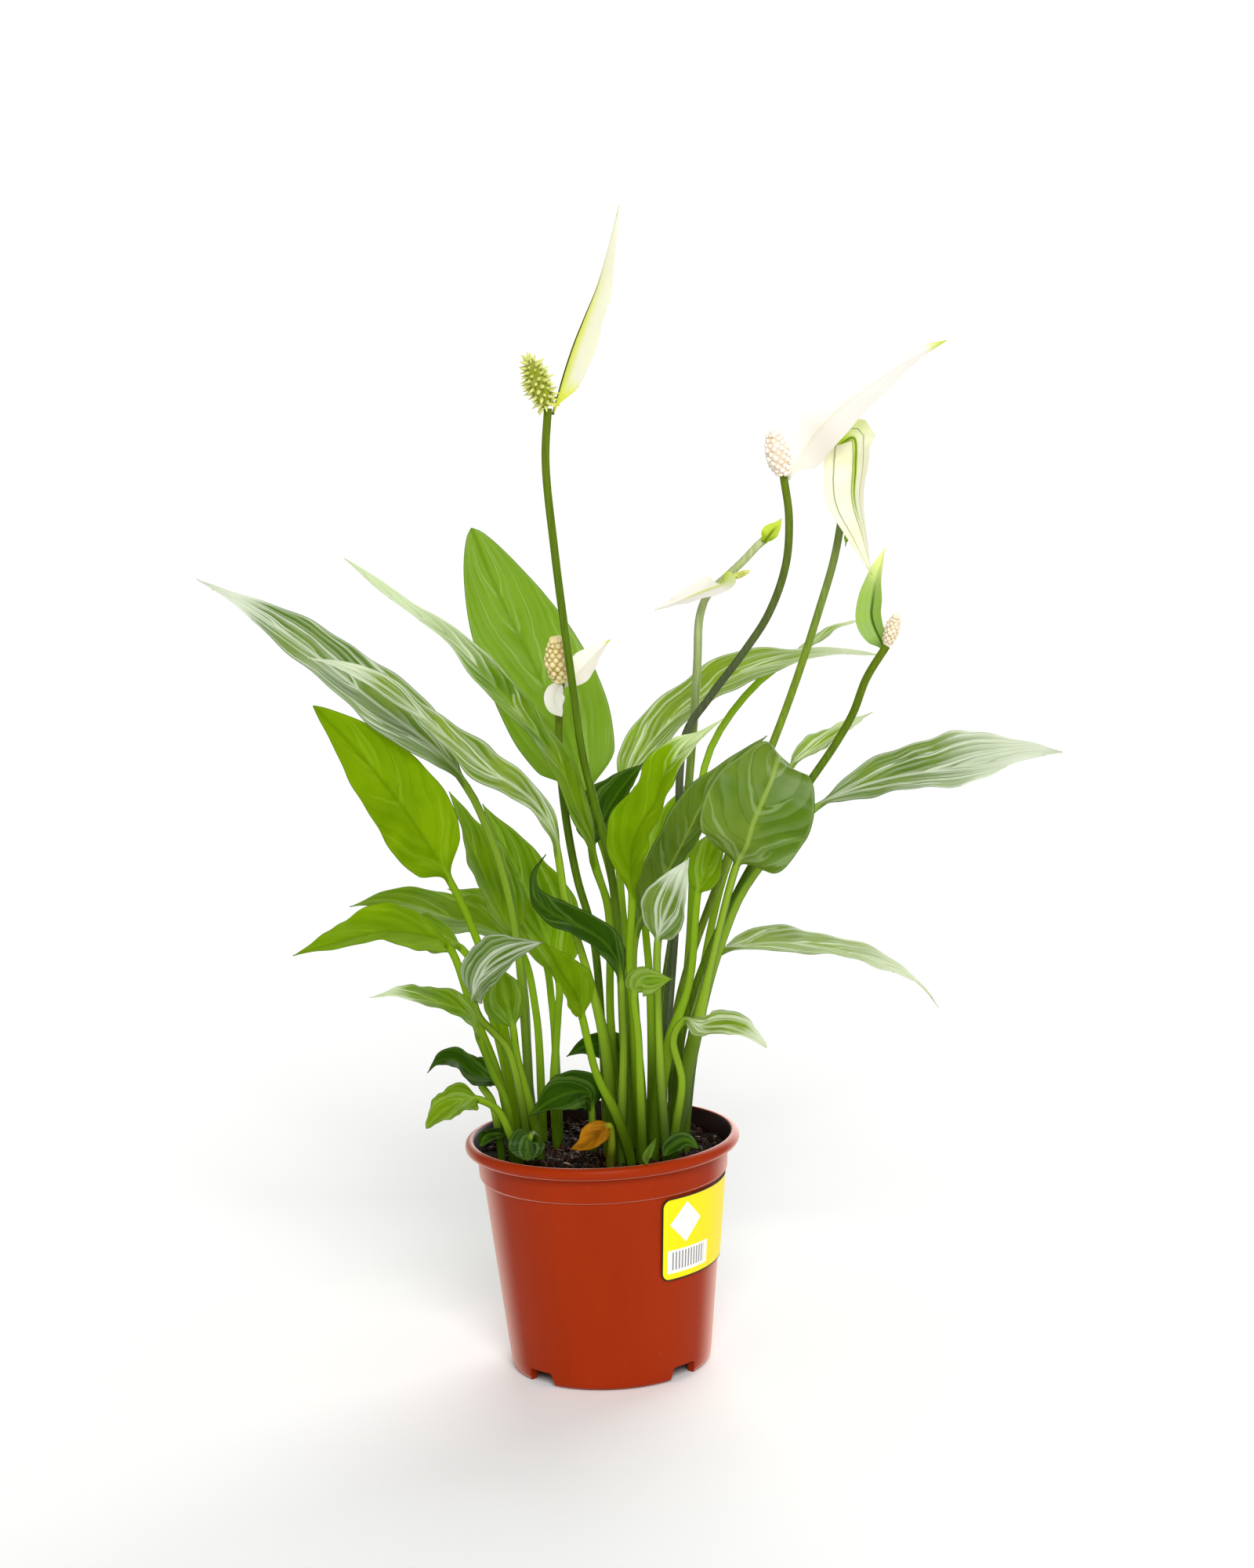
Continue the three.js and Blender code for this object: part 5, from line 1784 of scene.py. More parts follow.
@dataclass(frozen=True)
class Leaf:
    """One leaf: a winged stalk out of the peat and a veined blade.

    root is where the stalk goes into the peat, stalk and blade are points of the
    midrib, face is the turn about the midrib at the foot and the tip of the blade,
    fold raises both halves, wave ripples the margins, sheath is the half width of the
    winged lower stalk, belly moves the widest place towards the tip and a smaller taper
    makes the ends blunter. From the share in bleach on, painted glare of the backlight
    washes the blade out to white; 1 keeps its colour.
    """

    name: str
    look: LeafLook
    root: Spot
    width: float
    face: Spot
    stalk: tuple[Point, ...]
    blade: tuple[Point, ...]
    fold: float = 14.0
    wave: float = 0.8
    sheath: float = 2.2
    belly: float = 0.74
    taper: float = 1.12
    bleach: float = 1.0

    PEG_FLOOR = 84.5
    PEG_TOP = 97.0
    PEG_RADIUS = 1.9
    STALK_RADIUS = 1.65
    JOIN = 0.14
    STALK_STATIONS = 26
    BLADE_STATIONS = 64
    TIP_CROWD = 1.04
    VEIN_BEND = 1.25
    SWELLS = 15
    RIPPLES = 41
    RIPPLE_SHARE = 0.35
    RIB_FOOT = 0.55
    RIB_TIP = 0.1

    def _section(self, shares: np.ndarray) -> tuple[np.ndarray, np.ndarray]:
        """Half width and half thickness of the stalk at shares of its length."""
        wing = smooth(shares / 0.18) * (1 - smooth((shares - 0.3) / 0.4))
        base = mix(self.PEG_RADIUS, self.STALK_RADIUS, smooth(shares / 0.5))
        return mix(base, self.sheath, wing), base

    def build(self) -> bpy.types.Object:
        """Build the leaf and dress it.

        Returns:
            The leaf piece, riding on the frame.
        """
        rule = Blade()
        root_x, root_y = self.root
        line = CentreLine([
            (root_x, root_y, self.PEG_FLOOR), (root_x, root_y, self.PEG_TOP),
            *self.stalk, *self.blade,
        ])
        peg, foot = line.share_of(1), line.share_of(1 + len(self.stalk))
        stalk_share = np.concatenate([
            [0.0], np.linspace(0.0, 1.0, self.STALK_STATIONS)[:-1], np.ones(self.BLADE_STATIONS),
        ])
        blade_share = np.concatenate([
            np.zeros(self.STALK_STATIONS),
            np.linspace(0.0, 1.0, self.BLADE_STATIONS) ** self.TIP_CROWD,
        ])
        walk = np.concatenate([
            [0.0], mix(peg, foot, stalk_share[1 : self.STALK_STATIONS]),
            mix(foot, 1.0, blade_share[self.STALK_STATIONS :]),
        ])
        centres, tangents = line.at(walk)
        axes = cross_axes(tangents, mix(self.face[0], self.face[1], blade_share))
        outline = np.sin(np.pi * blade_share**self.belly).clip(0.0) ** self.taper
        half = np.maximum(0.3, self.width / 2 * outline)
        v = rule.across()
        blade_length = (1.0 - foot) * line.total
        finish = self.look.value
        lag = finish.vein_reach * self.width * np.abs(v) ** self.VEIN_BEND
        phase = (blade_share[:, None] * blade_length - lag) / finish.vein_spacing
        held = np.sin(np.pi * blade_share)
        swell = self.wave * np.sin(blade_share * self.SWELLS + root_x) * held
        ripple = self.RIPPLE_SHARE * np.sin(blade_share * self.RIPPLES + root_y) * held
        lift = (swell + ripple * self.wave)[:, None] * v * np.abs(v)
        blend = smooth(blade_share / self.JOIN)
        rings = rule.rings(
            centres, axes, half, lift, self._section(stalk_share), blend, self.fold,
            mix(self.RIB_FOOT, self.RIB_TIP, blade_share),
        )
        # Share of painted glare, rising from bleach towards the tip.
        fade = np.zeros_like(blade_share)
        if self.bleach < 1.0:
            fade = smooth((blade_share - self.bleach) / max(0.05, 0.9 - self.bleach))
        marks = rule.marks(
            len(half),
            vein=phase,
            rib=np.abs(v) * half[:, None],
            edge=(1.0 - np.abs(v)) * half[:, None] + 2 * (1 - blend[:, None]),
            stalk=1.0 - blend[:, None],
            foot=stalk_share[:, None],
            bleach=fade[:, None],
        )
        piece = skin(rings, marks).piece(f"{self.name}_blade", material_of(finish))
        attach(piece, BODY)
        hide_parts(self.name)
        return piece


LEAVES: tuple[Leaf, ...] = (
    Leaf(
        "leaf_01", LeafLook.STRIPED, root=(-31, -4), width=38, face=(-58, -64), fold=12, wave=1.2,
        sheath=2.6, bleach=0.7,
        stalk=((-31, -5, 150), (-33, -8, 192), (-38, -18, 225), (-46, -30, 253), (-50, -34, 262)),
        blade=((-61, -38, 278), (-87, -42, 301), (-111, -46, 323), (-135, -48, 342),
               (-155, -50, 355)),
    ),
    Leaf(
        "leaf_02", LeafLook.SUNLIT, root=(-37, -4), width=37, face=(-30, -42), wave=1, sheath=2.4,
        taper=0.8,
        stalk=((-41, -8, 156), (-51, -24, 200), (-59, -36, 223)),
        blade=((-68, -44, 242), (-79, -52, 262), (-94, -60, 284), (-109, -68, 303)),
    ),
    Leaf(
        "leaf_03", LeafLook.MEADOW, root=(-20, 8), width=38, face=(-34, -44), wave=1.2,
        stalk=((-20, 14, 122), (-17, 26, 151), (-16, 31, 162)),
        blade=((-23, 44, 187), (-33, 54, 210), (-47, 62, 240)),
    ),
    Leaf(
        "leaf_04", LeafLook.MEADOW, root=(-29, 7), width=34, face=(-58, -64), fold=20, wave=1,
        stalk=((-31, 9, 124), (-31, 11, 162), (-34, 14, 185)),
        blade=((-42, 18, 203), (-51, 22, 227), (-60, 24, 252)),
    ),
    Leaf(
        "leaf_05", LeafLook.SUNLIT, root=(-39, -10), width=31, face=(-66, -74), fold=12, wave=1,
        stalk=((-43, -12, 130), (-53, -22, 165), (-61, -36, 195)),
        blade=((-70, -47, 202), (-87, -60, 207), (-104, -72, 206), (-122, -80, 203)),
    ),
    Leaf(
        "leaf_06", LeafLook.MEADOW, root=(-26, 13), width=34, face=(-66, -72), fold=12, wave=1.2,
        stalk=((-26, 18, 114), (-27, 34, 150), (-33, 48, 175)),
        blade=((-48, 60, 184), (-64, 70, 187), (-81, 80, 192), (-96, 88, 193), (-112, 94, 190)),
    ),
    Leaf(
        "leaf_07", LeafLook.MEADOW, root=(-38, 3), width=30, face=(-68, -74), fold=12, sheath=2,
        stalk=((-40, 4, 124), (-47, 2, 161), (-57, -2, 187)),
        blade=((-72, -6, 193), (-85, -8, 195), (-98, -10, 199)),
    ),
    Leaf(
        "leaf_08", LeafLook.MEADOW, root=(-19, 15), width=28, face=(-58, -64), fold=12, sheath=2,
        stalk=((-19, 26, 113), (-20, 58, 147), (-24, 80, 167)),
        blade=((-40, 98, 180), (-53, 106, 188), (-67, 112, 193)),
    ),
    Leaf(
        "leaf_09", LeafLook.STRIPED, root=(-32, -13), width=32, face=(60, 68), fold=10, sheath=2,
        stalk=((-38, -23, 145), (-44, -31, 156), (-49, -39, 164), (-51, -46, 173)),
        blade=((-49, -50, 182), (-42, -53, 190), (-33, -55, 195), (-21, -56, 199)),
    ),
    Leaf(
        "leaf_10", LeafLook.MEADOW, root=(-27, -9), width=20, face=(158, 164), wave=0.5, sheath=2,
        stalk=((-31, -11, 120), (-35, -17, 142), (-36, -23, 156)),
        blade=((-38, -26, 169), (-40, -30, 184)),
    ),
    Leaf(
        "leaf_11", LeafLook.MEADOW, root=(-38, -16), width=18, face=(-76, -80), fold=10, sheath=2,
        bleach=0.6,
        stalk=((-40, -22, 122), (-45, -36, 140), (-49, -56, 159)),
        blade=((-53, -70, 173), (-64, -86, 182), (-78, -104, 190), (-89, -116, 192)),
    ),
    Leaf(
        "leaf_12", LeafLook.DEEP, root=(-44, -9), width=19, face=(-64, -70), sheath=1.9,
        stalk=((-45, -11, 110), (-47, -13, 122), (-51, -14, 130)),
        blade=((-46, -15, 131), (-55, -15, 135), (-62, -15, 141), (-68, -15, 141), (-74, -15, 136)),
    ),
    Leaf(
        "leaf_13", LeafLook.MEADOW, root=(-36, -22), width=20, face=(-60, -66), fold=10, sheath=1.9,
        taper=0.7,
        stalk=((-39, -23, 108), (-44, -27, 121), (-52, -34, 128)),
        blade=((-58, -38, 129), (-67, -42, 125), (-74, -44, 119)),
    ),
    Leaf(
        "leaf_14", LeafLook.DEEP, root=(3, 3), width=15, face=(6, 10), fold=16, wave=0.4,
        sheath=1.9,
        stalk=((3, 7, 110), (6, 10, 123)),
        blade=((7, 12, 137), (0, 12, 139), (-7, 12, 138), (-14, 11, 134)),
    ),
    Leaf(
        "leaf_15", LeafLook.DEEP, root=(-27, -16), width=16, face=(0, 6), fold=8, wave=0.3,
        sheath=1.9, taper=0.6,
        stalk=((-28, -20, 105), (-30, -28, 110), (-31, -33, 110)),
        blade=((-32, -35, 109), (-32, -36, 105), (-32, -37, 101)),
    ),
    Leaf(
        "leaf_16", LeafLook.BANDED, root=(5, -19), width=18, face=(-52, -60), fold=12, wave=1.8,
        sheath=3.4, taper=0.9, bleach=0.7,
        stalk=((3, -22, 147), (-4, -27, 183), (-11, -31, 211), (-13, -34, 230)),
        blade=((-15, -37, 242), (-22, -41, 255), (-31, -46, 264), (-42, -51, 272), (-53, -56, 283),
               (-68, -61, 298), (-83, -65, 311), (-98, -68, 319), (-110, -70, 323)),
    ),
    Leaf(
        "leaf_17", LeafLook.MEADOW, root=(9, 6), width=20, face=(-58, -66), fold=10, wave=1.2,
        taper=0.8, bleach=0.3,
        stalk=((6, 5, 150), (7, -1, 201), (3, -5, 219)),
        blade=((0, -8, 234), (-4, -9, 245), (-10, -9, 263), (-19, -8, 278), (-30, 0, 291),
               (-41, 11, 303), (-55, 20, 319), (-78, 28, 336), (-101, 36, 355)),
    ),
    Leaf(
        "leaf_18", LeafLook.HAZY, root=(13, 0), width=48, face=(-14, -6), fold=10, wave=1.6,
        taper=0.65,
        stalk=((13, 6, 150), (12, 14, 185), (8, 28, 216), (0, 42, 242)),
        blade=((-4, 48, 258), (-12, 53, 280), (-20, 57, 300), (-31, 61, 324), (-39, 63, 344),
               (-46, 64, 364)),
    ),
    Leaf(
        "leaf_19", LeafLook.DEEP, root=(8, -25), width=16, face=(-44, -50), fold=18, wave=1,
        sheath=2.4,
        stalk=((11, -21, 147), (11, -25, 163), (11, -28, 173)),
        blade=((9, -30, 185), (3, -32, 194), (-8, -35, 202), (-18, -38, 208), (-24, -42, 216),
               (-24, -45, 226), (-18, -46, 234)),
    ),
    Leaf(
        "leaf_20", LeafLook.SUNLIT, root=(12, -30), width=22, face=(-50, -60), fold=18, sheath=2.4,
        stalk=((7, -32, 117), (-1, -38, 137), (-4, -43, 152), (-6, -47, 164)),
        blade=((-8, -51, 174), (-14, -57, 186), (-20, -63, 200)),
    ),
    Leaf(
        "leaf_21", LeafLook.DEEP, root=(-4, -4), width=22, face=(-48, -56), fold=8, sheath=1.9,
        stalk=((-4, -6, 105), (-4, -9, 114)),
        blade=((-5, -11, 122), (-10, -13, 124), (-20, -17, 122), (-31, -20, 116)),
    ),
    Leaf(
        "leaf_22", LeafLook.WITHERED, root=(3, -29), width=12, face=(-20, -40), fold=24, wave=0.6,
        sheath=1.9,
        stalk=((4, -31, 106), (3, -35, 114)),
        blade=((-2, -39, 112), (-8, -42, 108), (-14, -44, 107)),
    ),
    Leaf(
        "leaf_23", LeafLook.SUNLIT, root=(16, -25), width=28, face=(50, 58), fold=18, wave=1.8,
        sheath=3.2, bleach=0.62,
        stalk=((16, -28, 149), (15, -32, 185), (17, -36, 211)),
        blade=((17, -40, 225), (18, -43, 235), (22, -46, 245), (28, -49, 254), (32, -51, 265),
               (38, -54, 274), (47, -56, 281), (57, -58, 289)),
    ),
    Leaf(
        "leaf_24", LeafLook.BANDED, root=(18, 6), width=36, face=(64, 74), fold=12, wave=1.4,
        belly=0.68, bleach=0.62,
        stalk=((16, 15, 150), (13, 34, 208), (13, 52, 240)),
        blade=((18, 56, 249), (25, 61, 258), (33, 65, 267), (42, 69, 275), (53, 73, 282),
               (65, 76, 289), (79, 78, 294), (96, 80, 297), (114, 82, 299), (137, 84, 297)),
    ),
    Leaf(
        "leaf_25", LeafLook.BANDED, root=(34, 5), width=18, face=(72, 76), fold=16, sheath=2,
        bleach=0.35,
        stalk=((43, 9, 150), (64, 32, 220), (90, 40, 253)),
        blade=((103, 45, 261), (116, 49, 268), (129, 53, 275)),
    ),
    Leaf(
        "leaf_26", LeafLook.SATIN, root=(33, -16), width=46, face=(4, 2), fold=8, wave=1.2,
        sheath=3.2, belly=0.95, taper=0.55,
        stalk=((36, -17, 124), (44, -24, 158), (52, -34, 192), (61, -46, 226)),
        blade=((65, -54, 235), (68, -57, 245), (72, -58, 254), (76, -56, 262), (79, -52, 269),
               (81, -46, 271)),
    ),
    Leaf(
        "leaf_27", LeafLook.SATIN, root=(18, -13), width=27, face=(52, 60), fold=20, wave=1,
        sheath=2.4,
        stalk=((18, -10, 119), (17, -6, 153), (18, -1, 187)),
        blade=((26, 1, 204), (35, 3, 218), (43, 3, 232), (51, 3, 246), (64, 0, 261), (78, -4, 274)),
    ),
    Leaf(
        "leaf_28", LeafLook.MEADOW, root=(21, -1), width=28, face=(54, 60), sheath=2,
        stalk=((23, 4, 130), (24, 20, 165), (24, 38, 198)),
        blade=((31, 48, 214), (38, 54, 230), (45, 58, 246)),
    ),
    Leaf(
        "leaf_29", LeafLook.MEADOW, root=(22, -25), width=21, face=(36, 46), wave=0.6, sheath=3.4,
        stalk=((24, -25, 118), (31, -24, 148), (40, -24, 172), (44, -24, 203), (45, -24, 210)),
        blade=((48, -24, 219), (52, -22, 229), (57, -20, 238)),
    ),
    Leaf(
        "leaf_30", LeafLook.STRIPED, root=(27, -31), width=24, face=(34, 44), fold=16, wave=0.6,
        bleach=0.3,
        stalk=((26, -32, 130), (26, -36, 160), (27, -42, 194)),
        blade=((30, -46, 205), (35, -50, 217), (41, -53, 231)),
    ),
    Leaf(
        "leaf_31", LeafLook.STRIPED, root=(36, -10), width=42, face=(64, 72), fold=12, wave=1.4,
        sheath=2.8, belly=1.15, bleach=0.22,
        stalk=((40, -11, 133), (48, -14, 167), (56, -19, 191), (64, -25, 210), (77, -34, 229),
               (93, -44, 247)),
        blade=((107, -50, 255), (126, -56, 261), (145, -60, 264), (164, -64, 267), (180, -68, 270),
               (194, -72, 271)),
    ),
    Leaf(
        "leaf_32", LeafLook.BANDED, root=(29, 0), width=25, face=(74, 80), fold=10, wave=1.2,
        bleach=0.2,
        stalk=((33, -2, 120), (36, -2, 146), (42, 0, 157), (47, 5, 167), (54, 14, 176)),
        blade=((70, 27, 177), (86, 37, 175), (107, 48, 169), (125, 56, 162), (141, 62, 153),
               (150, 66, 145), (157, 70, 135)),
    ),
    Leaf(
        "leaf_33", LeafLook.BANDED, root=(30, -26), width=19, face=(68, 72), wave=0.6, taper=0.7,
        bleach=0.5,
        stalk=((32, -28, 112), (35, -29, 131), (32, -33, 150), (37, -38, 159)),
        blade=((44, -43, 157), (54, -50, 158), (62, -56, 156), (70, -60, 151)),
    ),
    Leaf(
        "leaf_34", LeafLook.MEADOW, root=(17, -35), width=13, face=(10, 20), wave=0.4, sheath=1.9,
        stalk=((17, -38, 125), (17, -44, 155), (16, -50, 174)),
        blade=((18, -52, 179), (24, -54, 180), (32, -56, 181)),
    ),
    Leaf(
        "leaf_35", LeafLook.DEEP, root=(7, -4), width=30, face=(50, 58), fold=18, sheath=2,
        stalk=((12, -2, 151), (8, 8, 198), (1, 15, 225)),
        blade=((6, 19, 236), (14, 23, 248), (25, 27, 260)),
    ),
    Leaf(
        "leaf_36", LeafLook.BANDED, root=(32, 17), width=7, face=(64, 70), wave=0.3, sheath=1.9,
        bleach=0.4,
        stalk=((43, 42, 177), (48, 72, 214), (57, 90, 255), (77, 95, 282), (97, 95, 297)),
        blade=((111, 95, 305), (117, 95, 309), (124, 95, 311), (130, 95, 313)),
    ),
)


# ----------------------------------------------------------------------------- flowers


@dataclass(frozen=True)
class Scrap:
    """Small loose blade: a rag of petal, a bract on a stem or a young leaf on the peat."""

    name: str
    look: LeafLook | SpatheLook
    line: tuple[Point, ...]
    width: float
    face: float
    fold: float

    STATIONS = 26

    def build(self) -> bpy.types.Object:
        """Build the blade and let it ride with the plant.

        Returns:
            The piece.
        """
        rule = Blade(middle_thickness=0.5, margin_thickness=0.3)
        shares = np.linspace(0.0, 1.0, self.STATIONS)
        centres, tangents = CentreLine(self.line).at(shares)
        axes = cross_axes(tangents, np.full(self.STATIONS, self.face))
        half = np.maximum(0.35, self.width / 2 * np.sin(np.pi * shares**0.8).clip(0.0) ** 0.8)
        v = rule.across()
        lift = 0.4 * np.sin(shares * 13 + self.width)[:, None] * v * np.abs(v)
        stalk = (np.full(self.STATIONS, 0.5), np.full(self.STATIONS, 0.4))
        rings = rule.rings(
            centres, axes, half, lift, stalk, np.ones(self.STATIONS), self.fold,
            np.full(self.STATIONS, 0.12),
        )
        marks = rule.marks(
            self.STATIONS,
            vein=np.abs(v) * 2.5 + shares[:, None],
            rib=np.abs(v) * half[:, None],
            edge=(1.0 - np.abs(v)) * half[:, None],
            along=0.2 + 0.7 * shares[:, None],
            stalk=0.0,
            foot=1.0,
            bleach=0.0,
        )
        piece = skin(rings, marks).piece(self.name, material_of(self.look.value))
        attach(piece, BODY)
        return piece


SCRAPS: tuple[Scrap, ...] = (
    Scrap(
        "petal_rag", SpatheLook.HOOD,
        line=((-8.8, 4.5, 299.3), (-11.7, 3.5, 295.5), (-11.9, 3.5, 290.1),
              (-9.2, 4.5, 285.1)),
        width=9, face=4, fold=8,
    ),
    Scrap(
        "stem_bract", LeafLook.MEADOW,
        line=((116.6, 24.5, 351.3), (117.7, 24.0, 355.4), (118.6, 24.5, 359.7),
              (118.7, 25.0, 362.4)),
        width=3.4, face=70, fold=8,
    ),
    Scrap(
        "peat_leaf_right", LeafLook.DEEP,
        line=((25.3, -47.9, 103.5), (29.5, -42.8, 106.0), (35.0, -41.0, 108.0),
              (40.8, -41.2, 104.0)),
        width=8, face=34, fold=14,
    ),
    Scrap(
        "peat_leaf_left", LeafLook.DEEP,
        line=((-52.9, -18.9, 103.5), (-50.8, -15.5, 107.0), (-45.2, -17.5, 109.0),
              (-39.3, -15.1, 106.0)),
        width=8, face=-30, fold=16,
    ),
    Scrap(
        "peat_shoot", LeafLook.HAZY,
        line=((18.4, -57.2, 103.0), (18.6, -50.5, 104.5), (20.8, -50.0, 108.4),
              (22.6, -49.0, 111.4)),
        width=4, face=10, fold=20,
    ),
)


@dataclass(frozen=True)
class Flower:
    """One flower: its stem, the spathe that sails behind it and the spadix.

    stem runs from the peat to the foot of the spadix; line is the midrib of the spathe
    beyond its claw; face and fold are its turn and its cupping; girth thins the stem
    above its foot.
    """

    name: str
    root: Spot
    stem: tuple[Point, ...]
    line: tuple[Point, ...]
    width: float
    face: Spot
    fold: float
    spadix_tip: Point
    spadix_radius: float
    spathe_look: SpatheLook = SpatheLook.LEMON
    stem_look: StemLook = StemLook.FRESH
    spadix_look: SpadixLook = SpadixLook.BEIGE
    pointed: bool = False
    girth: float = 1.0

    STEM_RADIUS = 1.75
    GAP = 0.4
    CLAW_GAP = 0.6
    CLAW_THICKNESS = 0.5
    CLAW_HALF_WIDTH = 1.5
    CLAW_LAP = 2.5
    JOIN = 0.14
    STATIONS = 60
    STEM_STATIONS = 90
    STEM_SIDES = 16
    RIPPLE = 0.3
    RIPPLES = 23
    RIB = 0.12
    VEINS = 5.5
    FLORET = 1.25

    def _stem_line(self) -> CentreLine:
        """Centre line of the stem."""
        x, y = self.root
        return CentreLine([(x, y, Leaf.PEG_FLOOR), (x, y, Leaf.PEG_TOP), *self.stem])

    def build(self) -> list[bpy.types.Object]:
        """Build stem, spathe and spadix and dress them.

        Returns:
            The three pieces, riding on the frame.
        """
        pieces = []
        for made, node, slot in (
            (self._stem(), "stem", "stem"),
            (self._spathe(), "spathe", "spathe"),
            (self._spadix(), "spadix", "spadix"),
        ):
            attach(made, BODY)
            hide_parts(f"{self.name}_{node}")
            pieces.append(made)
        return pieces

    def _stem(self) -> bpy.types.Object:
        """Run a round stem along its line, a little thicker at the foot and the top.

        Returns:
            The stem piece.
        """
        line = self._stem_line()
        shares = np.linspace(0.0, 1.0, self.STEM_STATIONS)
        centres, _ = line.at(shares)
        foot, top = 1 - smooth(shares / 0.2), smooth((shares - 0.96) / 0.04)
        girth = 0.92 + 0.1 * foot + 0.1 * top
        girth = girth * mix(1.0, self.girth, smooth((shares - 0.1) / 0.4))
        name = f"{self.name}_stem_round"
        mesh = bpy.data.meshes.new(name)
        edges = [(k, k + 1) for k in range(len(shares) - 1)]
        mesh.from_pydata(metres(centres).tolist(), edges, [])
        for label, values in (("girth", girth), ("along", shares)):
            mark = mesh.attributes.new(label, "FLOAT", "POINT")
            mark.data.foreach_set("value", values.astype(np.float32))
        piece = bpy.data.objects.new(name, mesh)
        bpy.context.scene.collection.objects.link(piece)
        grow(piece, stem_tree(), {
            "Stem Radius": self.STEM_RADIUS * MM, "Sides": self.STEM_SIDES,
            "Finish": material_of(self.stem_look.value),
        })
        return piece

    def _spathe(self) -> bpy.types.Object:
        """Build the spathe, its claw lying against the outer side of the stem's end.

        Returns:
            The spathe piece.
        """
        rule = Blade(middle_thickness=0.5, margin_thickness=0.3)
        tip, along = (row[0] for row in self._stem_line().at(np.array([1.0])))
        _, up = cross_axes(along[None, :], self.face[0])
        claw = tip - along * self.CLAW_LAP
        claw = claw - up[0] * (self.STEM_RADIUS * self.girth + self.CLAW_THICKNESS + self.CLAW_GAP)
        line = CentreLine([tuple(claw), *self.line])
        shares = np.linspace(0.0, 1.0, self.STATIONS)
        centres, tangents = line.at(shares)
        axes = cross_axes(tangents, mix(self.face[0], self.face[1], shares))
        outline = np.sin(np.pi * shares**0.66).clip(0.0) ** 0.95
        half = np.maximum(0.35, self.width / 2 * outline)
        v = rule.across()
        ripple = self.RIPPLE * np.sin(shares * self.RIPPLES + self.width) * np.sin(np.pi * shares)
        lift = ripple[:, None] * v * np.abs(v)
        flat = np.ones(self.STATIONS)
        stalk = (self.CLAW_HALF_WIDTH * flat, self.CLAW_THICKNESS * flat)
        rings = rule.rings(
            centres, axes, half, lift, stalk, smooth(shares / self.JOIN), self.fold, self.RIB * flat,
        )
        marks = rule.marks(
            self.STATIONS, vein=v * self.VEINS, rib=np.abs(v) * half[:, None], along=shares[:, None],
        )
        return skin(rings, marks).piece(
            f"{self.name}_spathe_sail", material_of(self.spathe_look.value)
        )

    def _spadix(self) -> bpy.types.Object:
        """Build the spadix with a floret on every second point of its skin.

        Returns:
            The spadix piece.
        """
        end, along = (row[0] for row in self._stem_line().at(np.array([1.0])))
        tip = np.array(self.spadix_tip, dtype=float)
        lean = (tip - end) / np.linalg.norm(tip - end)
        tilt = float(np.linalg.norm(np.cross(lean, along)))
        foot = end + lean * (self.GAP + self.STEM_RADIUS * self.girth * tilt)
        axis = tip - foot
        length = float(np.linalg.norm(axis))
        wide, up = cross_axes((axis / length)[None, :], 0.0)
        floret = self.FLORET if self.spadix_radius > 3.5 else 0.3 * self.spadix_radius
        rows = 2 * max(4, round(length / (floret * 2.8)))
        columns = 2 * max(5, round(math.pi * self.spadix_radius / (floret * 1.5)))
        shares = np.concatenate([[0.0], np.linspace(0.03, 0.97, rows), [1.0]])
        body = self.spadix_radius * np.sin(np.pi * mix(0.12, 0.93, shares)) ** 0.6
        body = (body - 0.25) * np.concatenate([[0.6], np.ones(rows), [0.55]])
        angle = TURN * np.arange(columns) / columns
        centres = foot + axis * shares[:, None]
        ring = (
            centres[:, None, :]
            + body[:, None, None] * (np.cos(angle)[:, None] * wide[0] + np.sin(angle)[:, None] * up[0])
        )
        scatter = np.random.default_rng(rows).normal(0.0, 0.1 * floret, ring.shape)
        ring[1:-1] += scatter[1:-1]
        marked = (np.add.outer(np.arange(rows + 2), np.arange(columns)) % 2 == 0).astype(float)
        marked[[0, -1]] = 0.0
        marked[-1, ::2] = 1.0
        shape = skin(ring, {"floret": marked})
        look = material_of(self.spadix_look.value)
        piece = shape.piece(f"{self.name}_spadix_florets", look)
        grow(piece, floret_tree(), {
            "Floret Width": floret * (0.8 if self.pointed else 1.0) * MM,
            "Floret Height": (1.7 if self.pointed else 0.76 * floret) * MM,
            "Pointed": self.pointed, "Seed": 7, "Finish": look,
        })
        return piece


